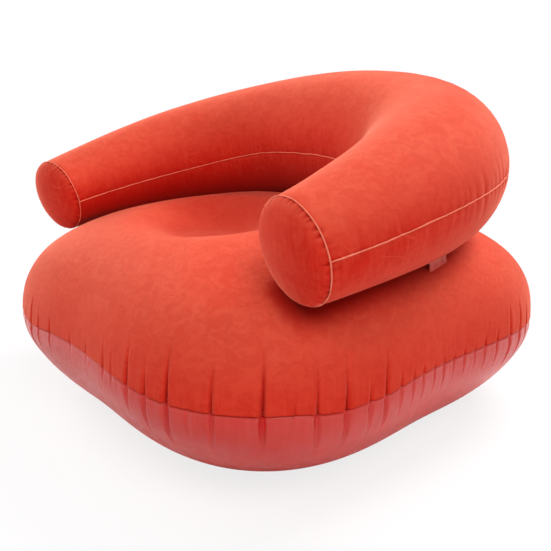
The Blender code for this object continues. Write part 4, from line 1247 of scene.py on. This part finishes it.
def valve_cap():
    top = CAP_LOW + CAP_THICKNESS
    end = CAP_LOW - CAP_PLUG_DEPTH
    plug = INSERT_BORE_RADIUS - PLUG_CLEARANCE
    hollow = plug - CAP_TAPER - CAP_WALL
    dish = CAP_RADIUS * 0.62
    shape = lathe([
        (0.0, top - 0.0004),
        (dish, top - 0.0004),
        (dish + 0.0010, top),
        (CAP_RADIUS - 0.0005, top),
        (CAP_RADIUS, top - CAP_THICKNESS / 2.0),
        (CAP_RADIUS, CAP_LOW),
        (plug, CAP_LOW),
        (plug - CAP_TAPER, end),
        (hollow, end),
        (hollow, CAP_LOW),
        (0.0, CAP_LOW),
    ], False, 0.0003, 24, 0.0003)
    half = STRAP_WIDTH / 2.0
    low = CAP_HINGE_Z - STRAP_THICKNESS / 2.0
    add_slab(shape, (-half, CAP_HINGE_Y, low), (half, -plug, low + STRAP_THICKNESS))
    add_fold(shape, CAP_HINGE_Y, CAP_HINGE_Z)
    return shape


def valve_flap():
    low = FLAP_TOP - FLAP_THICKNESS
    shape = lathe([(0.0, FLAP_TOP), (FLAP_RADIUS, FLAP_TOP), (FLAP_RADIUS, low), (0.0, low)], False, 0.0003)
    half = STRAP_WIDTH / 2.0
    add_slab(shape, (-half, FLAP_RADIUS / 2.0, low), (half, FLAP_HINGE_Y, FLAP_TOP), 0.0002)
    return shape


def build_valve(prefix, sheet, plastic, rubber):
    matrix = valve_matrix(prefix)
    valve = prefix + "_valve"
    pieces = (
        ("base", valve_base(sheet), "chair"),
        ("tether", valve_tether(), "chair"),
        ("insert", valve_insert(), prefix + "_insert"),
        ("cap", valve_cap(), prefix + "_cap"),
    )
    for part, shape, body in pieces:
        name = valve + "_" + part
        piece = place_valve_piece(name + "_moulding", shape, matrix, body, name)
        piece.data.materials.append(plastic)
    name = valve + "_flap"
    piece = place_valve_piece(name + "_moulding", valve_flap(), matrix, prefix + "_flap", name)
    piece.data.materials.append(rubber)


# Materials

FLOCK_BASE = (0.58, 0.013, 0.0055, 1.0)
FLOCK_LIGHT = (0.66, 0.054, 0.027, 1.0)
FLOCK_DARK = (0.48, 0.010, 0.005, 1.0)
# Colour of the painted top light on upward faces of the flock
FLOCK_PAINTED_TOP_LIGHT = (0.69, 0.096, 0.052, 1.0)
# Painted shade colour of the flock: creases, puckers, under the tube and in the dimple
FLOCK_PAINTED_SHADE = (0.43, 0.006, 0.003, 1.0)
VINYL_BASE = (0.56, 0.023, 0.015, 1.0)
VINYL_LIGHT = (0.60, 0.046, 0.034, 1.0)
# Painted shade colour of the vinyl in its creases
VINYL_PAINTED_SHADE = (0.60, 0.005, 0.003, 1.0)
# Weld ribs: pressed flock, paler partly as its own tone and partly as a painted highlight along the rib
PRESSED_HIGHLIT_BASE = (0.82, 0.180, 0.110, 1.0)
PRESSED_HIGHLIT_LIGHT = (0.88, 0.270, 0.180, 1.0)
PRESSED_HIGHLIT_DARK = (0.68, 0.090, 0.050, 1.0)


def new_material(name):
    material = bpy.data.materials.new(name)
    material.use_nodes = True
    return material, material.node_tree, material.node_tree.nodes["Principled BSDF"]


def link_up(tree, node, inputs):
    """Give a node's inputs their values, or links from other nodes."""
    for key, value in inputs.items():
        if isinstance(value, bpy.types.NodeSocket):
            tree.links.new(value, node.inputs[key])
        else:
            node.inputs[key].default_value = value


def add(tree, kind, inputs=(), **settings):
    node = tree.nodes.new(kind)
    for key, value in settings.items():
        setattr(node, key, value)
    link_up(tree, node, dict(inputs))
    return node


def stored(tree, name, output="Fac"):
    """A number or place that the skin's vertices carry."""
    return add(tree, "ShaderNodeAttribute", attribute_name=name).outputs[output]


def noise_at(tree, scale, detail=4.0, roughness=0.55, distortion=0.0, stretch=None, sheet=False):
    """Noise over the object's own coordinates or over places in the sheet, stretched if asked."""
    place = stored(tree, "flow", "Vector") if sheet else add(tree, "ShaderNodeTexCoord").outputs["Object"]
    if stretch is not None:
        place = add(tree, "ShaderNodeMapping", {"Vector": place, "Scale": stretch}).outputs["Vector"]
    inputs = {"Vector": place, "Scale": scale, "Detail": detail}
    inputs.update({"Roughness": roughness, "Distortion": distortion})
    return add(tree, "ShaderNodeTexNoise", inputs).outputs["Fac"]


def ramp(tree, factor, start, end, low=0.0, high=1.0):
    inputs = {"Value": factor, "From Min": start, "From Max": end, "To Min": low, "To Max": high}
    return add(tree, "ShaderNodeMapRange", inputs, interpolation_type="SMOOTHSTEP").outputs["Result"]


def work_out(tree, operation, first, second):
    return add(tree, "ShaderNodeMath", {0: first, 1: second}, operation=operation).outputs[0]


def thin_lines(tree, scale, half_width, patch_scale):
    """Thin curved lines that come and go: the level lines of one noise, masked by another."""
    signed = work_out(tree, "SUBTRACT", noise_at(tree, scale, 1.5, 0.5, 0.8), 0.5)
    lines = ramp(tree, work_out(tree, "ABSOLUTE", signed, 0.0), 0.0, half_width, 1.0, 0.0)
    patches = ramp(tree, noise_at(tree, patch_scale, 2.0, 0.5), 0.50, 0.62)
    return work_out(tree, "MULTIPLY", lines, patches)


def mix(tree, factor, first, second):
    return add(tree, "ShaderNodeMix", {"Factor": factor, 6: first, 7: second}, data_type="RGBA").outputs[2]


def bump(tree, height, distance, strength, before=None):
    inputs = {"Distance": distance, "Strength": strength, "Height": height}
    if before is not None:
        inputs["Normal"] = before
    return add(tree, "ShaderNodeBump", inputs).outputs["Normal"]


def flock_material(name, base, light, dark, top_light_colour, sheen):
    """Short nylon flock on vinyl: cloudy nap, a painted top light that makes it paler where it faces up,
    darker red painted shade, and a soft sheen.
    """
    material, tree, shader = new_material(name)
    facing = add(tree, "ShaderNodeSeparateXYZ", {0: add(tree, "ShaderNodeNewGeometry").outputs["Normal"]})
    # Painted top light: paler, more orange flock where the surface faces up.
    colour = mix(tree, ramp(tree, facing.outputs["Z"], -0.20, 0.85), base, top_light_colour)
    clouds = ramp(tree, noise_at(tree, 5.0, 5.0, 0.6, 0.8), 0.38, 0.68)
    mottle = noise_at(tree, 26.0, 7.0, 0.74, 1.2)
    nap = noise_at(tree, 34.0, 7.0, 0.76, 1.0, (1.0, 1.0, 1.4))
    strokes = noise_at(tree, 1.0, 5.0, 0.62, 0.4, (130.0, 130.0, 15.0), True)
    brushing = noise_at(tree, 1.0, 4.0, 0.60, 0.6, (20.0, 20.0, 140.0), True)
    for factor, start, end, strength, tint in (
        (clouds, 0.0, 1.0, 0.14, light),
        (mottle, 0.42, 0.58, 0.26, light),
        (nap, 0.42, 0.58, 0.26, dark),
        (strokes, 0.44, 0.64, 0.36, light),
        (brushing, 0.50, 0.68, 0.24, light),
        (thin_lines(tree, 8.0, 0.010, 12.0), 0.0, 1.0, 0.60, light),
        # Painted shade: darker red where the skin's share of painted shade is high.
        (stored(tree, "painted_shade"), 0.05, 0.9, 0.90, FLOCK_PAINTED_SHADE),
    ):
        colour = mix(tree, ramp(tree, factor, start, end, 0.0, strength), colour, tint)
    # Painted shade of the weld's groove, and partly the weld's own dark line: the flock is darker for 3.5 mm
    # beside a weld.
    colour = mix(tree, ramp(tree, stored(tree, "weld"), 0.0, 0.0035, 0.25, 0.0), colour, FLOCK_PAINTED_SHADE)
    soft = bump(tree, noise_at(tree, 42.0, 4.0, 0.6, 1.0), 0.0010, 0.25)
    link_up(tree, shader, {
        "Base Color": colour,
        "Roughness": ramp(tree, clouds, 0.0, 1.0, 0.84, 0.94),
        "Sheen Weight": sheen,
        "Sheen Roughness": 0.40,
        "Sheen Tint": (1.0, 0.42, 0.28, 1.0),
        "Specular IOR Level": 0.04,
        "Normal": bump(tree, noise_at(tree, 900.0, 2.0, 0.6), 0.0004, 0.45, soft),
    })
    return material


def vinyl_material(name, base, light, shade_colour, roughness):
    """Plain vinyl: semi-gloss, faintly cloudy, strained away from the weld, with a painted highlight along
    the weld band and painted shade, a darker red, in its creases.
    """
    material, tree, shader = new_material(name)
    clouds = ramp(tree, noise_at(tree, 6.0, 4.0, 0.55, 0.6), 0.35, 0.70)
    strain = ramp(tree, noise_at(tree, 1.0, 4.0, 0.6, 0.3, (90.0, 90.0, 9.0), True), 0.36, 0.68)
    colour = mix(tree, ramp(tree, clouds, 0.0, 1.0, 0.0, 0.4), base, light)
    colour = mix(tree, ramp(tree, strain, 0.0, 1.0, 0.0, 0.5), colour, light)
    # Painted highlight: a paler band within about 6 to 8 mm of the weld.
    colour = mix(tree, ramp(tree, stored(tree, "weld"), 0.0058, 0.0078, 0.25, 0.0), colour, light)
    # Painted shade: darker red in the creases.
    colour = mix(tree, ramp(tree, stored(tree, "painted_shade"), 0.15, 1.0, 0.0, 0.85), colour, shade_colour)
    scuffs = noise_at(tree, 38.0, 5.0, 0.65, 1.2)
    link_up(tree, shader, {
        "Base Color": colour,
        "Roughness": ramp(tree, scuffs, 0.3, 0.75, roughness - 0.04, roughness + 0.10),
        "Specular IOR Level": 0.36,
        "Normal": bump(tree, strain, 0.0010, 0.20),
    })
    return material


def mottled_material(name, spots, colours, gloss, specular, grain):
    """A plain surface whose colour and gloss vary with one noise, and whose grain is another."""
    material, tree, shader = new_material(name)
    scale, detail, roughness, distortion, start, end = spots
    share = ramp(tree, noise_at(tree, scale, detail, roughness, distortion), start, end)
    grain_scale, grain_detail, distance, strength = grain
    link_up(tree, shader, {
        "Base Color": mix(tree, share, *colours),
        "Roughness": ramp(tree, share, 0.0, 1.0, *gloss),
        "Specular IOR Level": specular,
        "Normal": bump(tree, noise_at(tree, grain_scale, grain_detail, 0.5), distance, strength),
    })
    return material


def film_material():
    """Clear tinted vinyl film, milky where it catches the light."""
    colours = ((0.58, 0.034, 0.018, 1.0), (0.62, 0.080, 0.050, 1.0))
    spots = (30.0, 4.0, 0.6, 1.0, 0.35, 0.7)
    return mottled_material("tinted_film", spots, colours, (0.34, 0.46), 0.22, (60.0, 3.0, 0.0006, 0.25))


def plastic_material():
    """Soft moulded vinyl of the valves, with a satin skin."""
    colours = ((0.40, 0.050, 0.040, 1.0), (0.47, 0.070, 0.055, 1.0))
    spots = (90.0, 3.0, 0.5, 0.0, 0.3, 0.75)
    return mottled_material("valve_moulding", spots, colours, (0.30, 0.42), 0.5, (1400.0, 2.0, 0.0001, 0.3))


def rubber_material():
    """The check flap's dusty rubber."""
    colours = ((0.28, 0.265, 0.26, 1.0), (0.36, 0.34, 0.33, 1.0))
    spots = (220.0, 4.0, 0.6, 0.0, 0.4, 0.8)
    return mottled_material("flap_rubber", spots, colours, (0.55, 0.75), 0.5, (900.0, 2.0, 0.0001, 0.3))


# Floor, light and camera: the share of plain white in the floor rises from near the chair to far off

FLOOR_NEAR = 0.5
FLOOR_FAR = 1.3
FLOOR_NEAR_WHITE = 0.80
AMBIENT = 0.03
LAMP_AIM = (0.0, 0.0, 0.3)
LAMPS = (
    ("top_rear", (0.3, 2.2, 2.8), 2.2, 130.0),
    ("top_front", (0.3, -2.2, 2.8), 2.2, 42.0),
    ("top_right", (2.4, -0.8, 2.6), 1.8, 53.0),
    ("left", (-3.2, -0.8, 1.6), 1.8, 80.0),
)


def build_floor():
    bpy.ops.mesh.primitive_plane_add(size=40.0, location=(0.0, 0.0, -0.0008))
    floor = bpy.context.object
    floor.name = "floor"
    material, tree, shader = new_material("pale_floor")
    link_up(tree, shader, {
        "Base Color": (0.90, 0.90, 0.90, 1.0),
        "Roughness": 0.9,
        "Specular IOR Level": 0.2,
    })
    glow = add(tree, "ShaderNodeEmission", {"Strength": 1.0})
    place = add(tree, "ShaderNodeTexCoord").outputs["Object"]
    away = add(tree, "ShaderNodeVectorMath", {0: place}, operation="LENGTH")
    far = ramp(tree, away.outputs["Value"], FLOOR_NEAR, FLOOR_FAR, FLOOR_NEAR_WHITE, 1.0)
    share = work_out(tree, "MULTIPLY", far, add(tree, "ShaderNodeLightPath").outputs["Is Camera Ray"])
    mixed = add(tree, "ShaderNodeMixShader", {0: share, 1: shader.outputs[0], 2: glow.outputs[0]})
    link_up(tree, tree.nodes["Material Output"], {"Surface": mixed.outputs["Shader"]})
    floor.data.materials.append(material)


def build_world():
    world = bpy.data.worlds.new("studio")
    bpy.context.scene.world = world
    world.use_nodes = True
    tree = world.node_tree
    tree.nodes.clear()
    plain = add(tree, "ShaderNodeBackground", {"Color": (1.0, 0.99, 0.98, 1.0), "Strength": AMBIENT})
    white = add(tree, "ShaderNodeBackground", {"Color": (1.0, 1.0, 1.0, 1.0), "Strength": 1.0})
    rays = add(tree, "ShaderNodeLightPath").outputs
    seen = work_out(tree, "MAXIMUM", rays["Is Camera Ray"], rays["Is Glossy Ray"])
    seen = work_out(tree, "MAXIMUM", seen, rays["Is Transmission Ray"])
    mixed = add(tree, "ShaderNodeMixShader", {0: seen, 1: plain.outputs[0], 2: white.outputs[0]})
    add(tree, "ShaderNodeOutputWorld", {"Surface": mixed.outputs["Shader"]})


def add_lamp(name, place, size, watts):
    data = bpy.data.lights.new(name, "AREA")
    data.shape = "DISK"
    data.size = size
    data.energy = watts
    lamp = new_object(name, data)
    lamp.location = place
    lamp.rotation_euler = (Vector(LAMP_AIM) - Vector(place)).to_track_quat("-Z", "Y").to_euler()


def build_camera():
    data = bpy.data.cameras.new("photograph_view")
    data.sensor_width = SENSOR_WIDTH
    data.sensor_fit = "HORIZONTAL"
    data.lens = SENSOR_WIDTH * FOCAL_PIXELS / IMAGE_SIZE
    data.clip_end = 100.0
    camera = new_object("photograph_view", data)
    level = math.cos(CAMERA_ELEVATION)
    away = Vector((
        math.sin(CAMERA_AZIMUTH) * level,
        -math.cos(CAMERA_AZIMUTH) * level,
        math.sin(CAMERA_ELEVATION),
    ))
    camera.location = CAMERA_TARGET + away * CAMERA_DISTANCE
    camera.rotation_euler = (-away).to_track_quat("-Z", "Y").to_euler()
    bpy.context.scene.camera = camera


def build_all():
    flock = flock_material("flock", FLOCK_BASE, FLOCK_LIGHT, FLOCK_DARK, FLOCK_PAINTED_TOP_LIGHT, 0.48)
    # Weld ribs: pressed flock painted paler, partly as a highlight along the rib.
    pressed = (PRESSED_HIGHLIT_BASE, PRESSED_HIGHLIT_LIGHT, PRESSED_HIGHLIT_DARK, PRESSED_HIGHLIT_BASE)
    pressed_highlit_flock = flock_material("pressed_highlit_flock", *pressed, 0.45)
    vinyl = vinyl_material("plain_vinyl", VINYL_BASE, VINYL_LIGHT, VINYL_PAINTED_SHADE, 0.32)
    film = film_material()
    tube = build_tube_skins()
    caps = [
        build_end_cap("left_end_cap_skin", 1.0, "left_end_cap", 21),
        build_end_cap("right_end_cap_skin", -1.0, "right_end_cap", 22),
    ]
    tree = surface_tree(tube + caps)
    lobes = simulate_lobes()
    seat_top = build_seat_top(lobes, tree)
    seat_bottom = build_seat_bottom(lobes)
    for piece in tube + caps + [seat_top]:
        piece.data.materials.append(flock)
    seat_bottom.data.materials.append(vinyl)
    welds = [
        build_weld("outer_tube_weld", tube_weld_line(OUTER_SEAM_ANGLE), 31, 0.0023, 0.0014, True),
        build_weld("inner_tube_weld", tube_weld_line(INNER_SEAM_ANGLE), 32, 0.0022, 0.0013, True),
        build_weld("left_ring_weld", ring_weld_line(1.0), 33, 0.0021, 0.0013, True, looped=True),
        build_weld("right_ring_weld", ring_weld_line(-1.0), 34, 0.0021, 0.0013, False, looped=True),
    ]
    for weld in welds:
        weld.data.materials.append(pressed_highlit_flock)
    seat_tree = surface_tree([seat_top])
    start = TUBE_HALF * (1.0 - WEB_START_SHARE)
    end = TUBE_HALF * (1.0 - WEB_END_SHARE)
    webs = [
        build_web("left_web_film", start, end, seat_tree, "left_joining_web"),
        build_web("right_web_film", -end, -start, seat_tree, "right_joining_web"),
        build_web("rear_web_film", REAR_WEB_HALF, -REAR_WEB_HALF, seat_tree, "rear_joining_web"),
    ]
    for web in webs:
        web.data.materials.append(film)
    plastic = plastic_material()
    rubber = rubber_material()
    build_valve("seat", PLAIN_SHEET, plastic, rubber)
    build_valve("tube", FLOCKED_SHEET, plastic, rubber)
    for node in ("tie_column", "tie_top_disc", "tie_bottom_disc"):
        slots = frame["nodes"][node].material_slots
        if slots:
            slots[0].material = film
        else:
            frame["nodes"][node].data.materials.append(film)


def light_scene():
    scene = bpy.context.scene
    scene.view_settings.view_transform = "Standard"
    build_world()
    for lamp in LAMPS:
        add_lamp(*lamp)
    build_floor()
    build_camera()


build_all()
light_scene()
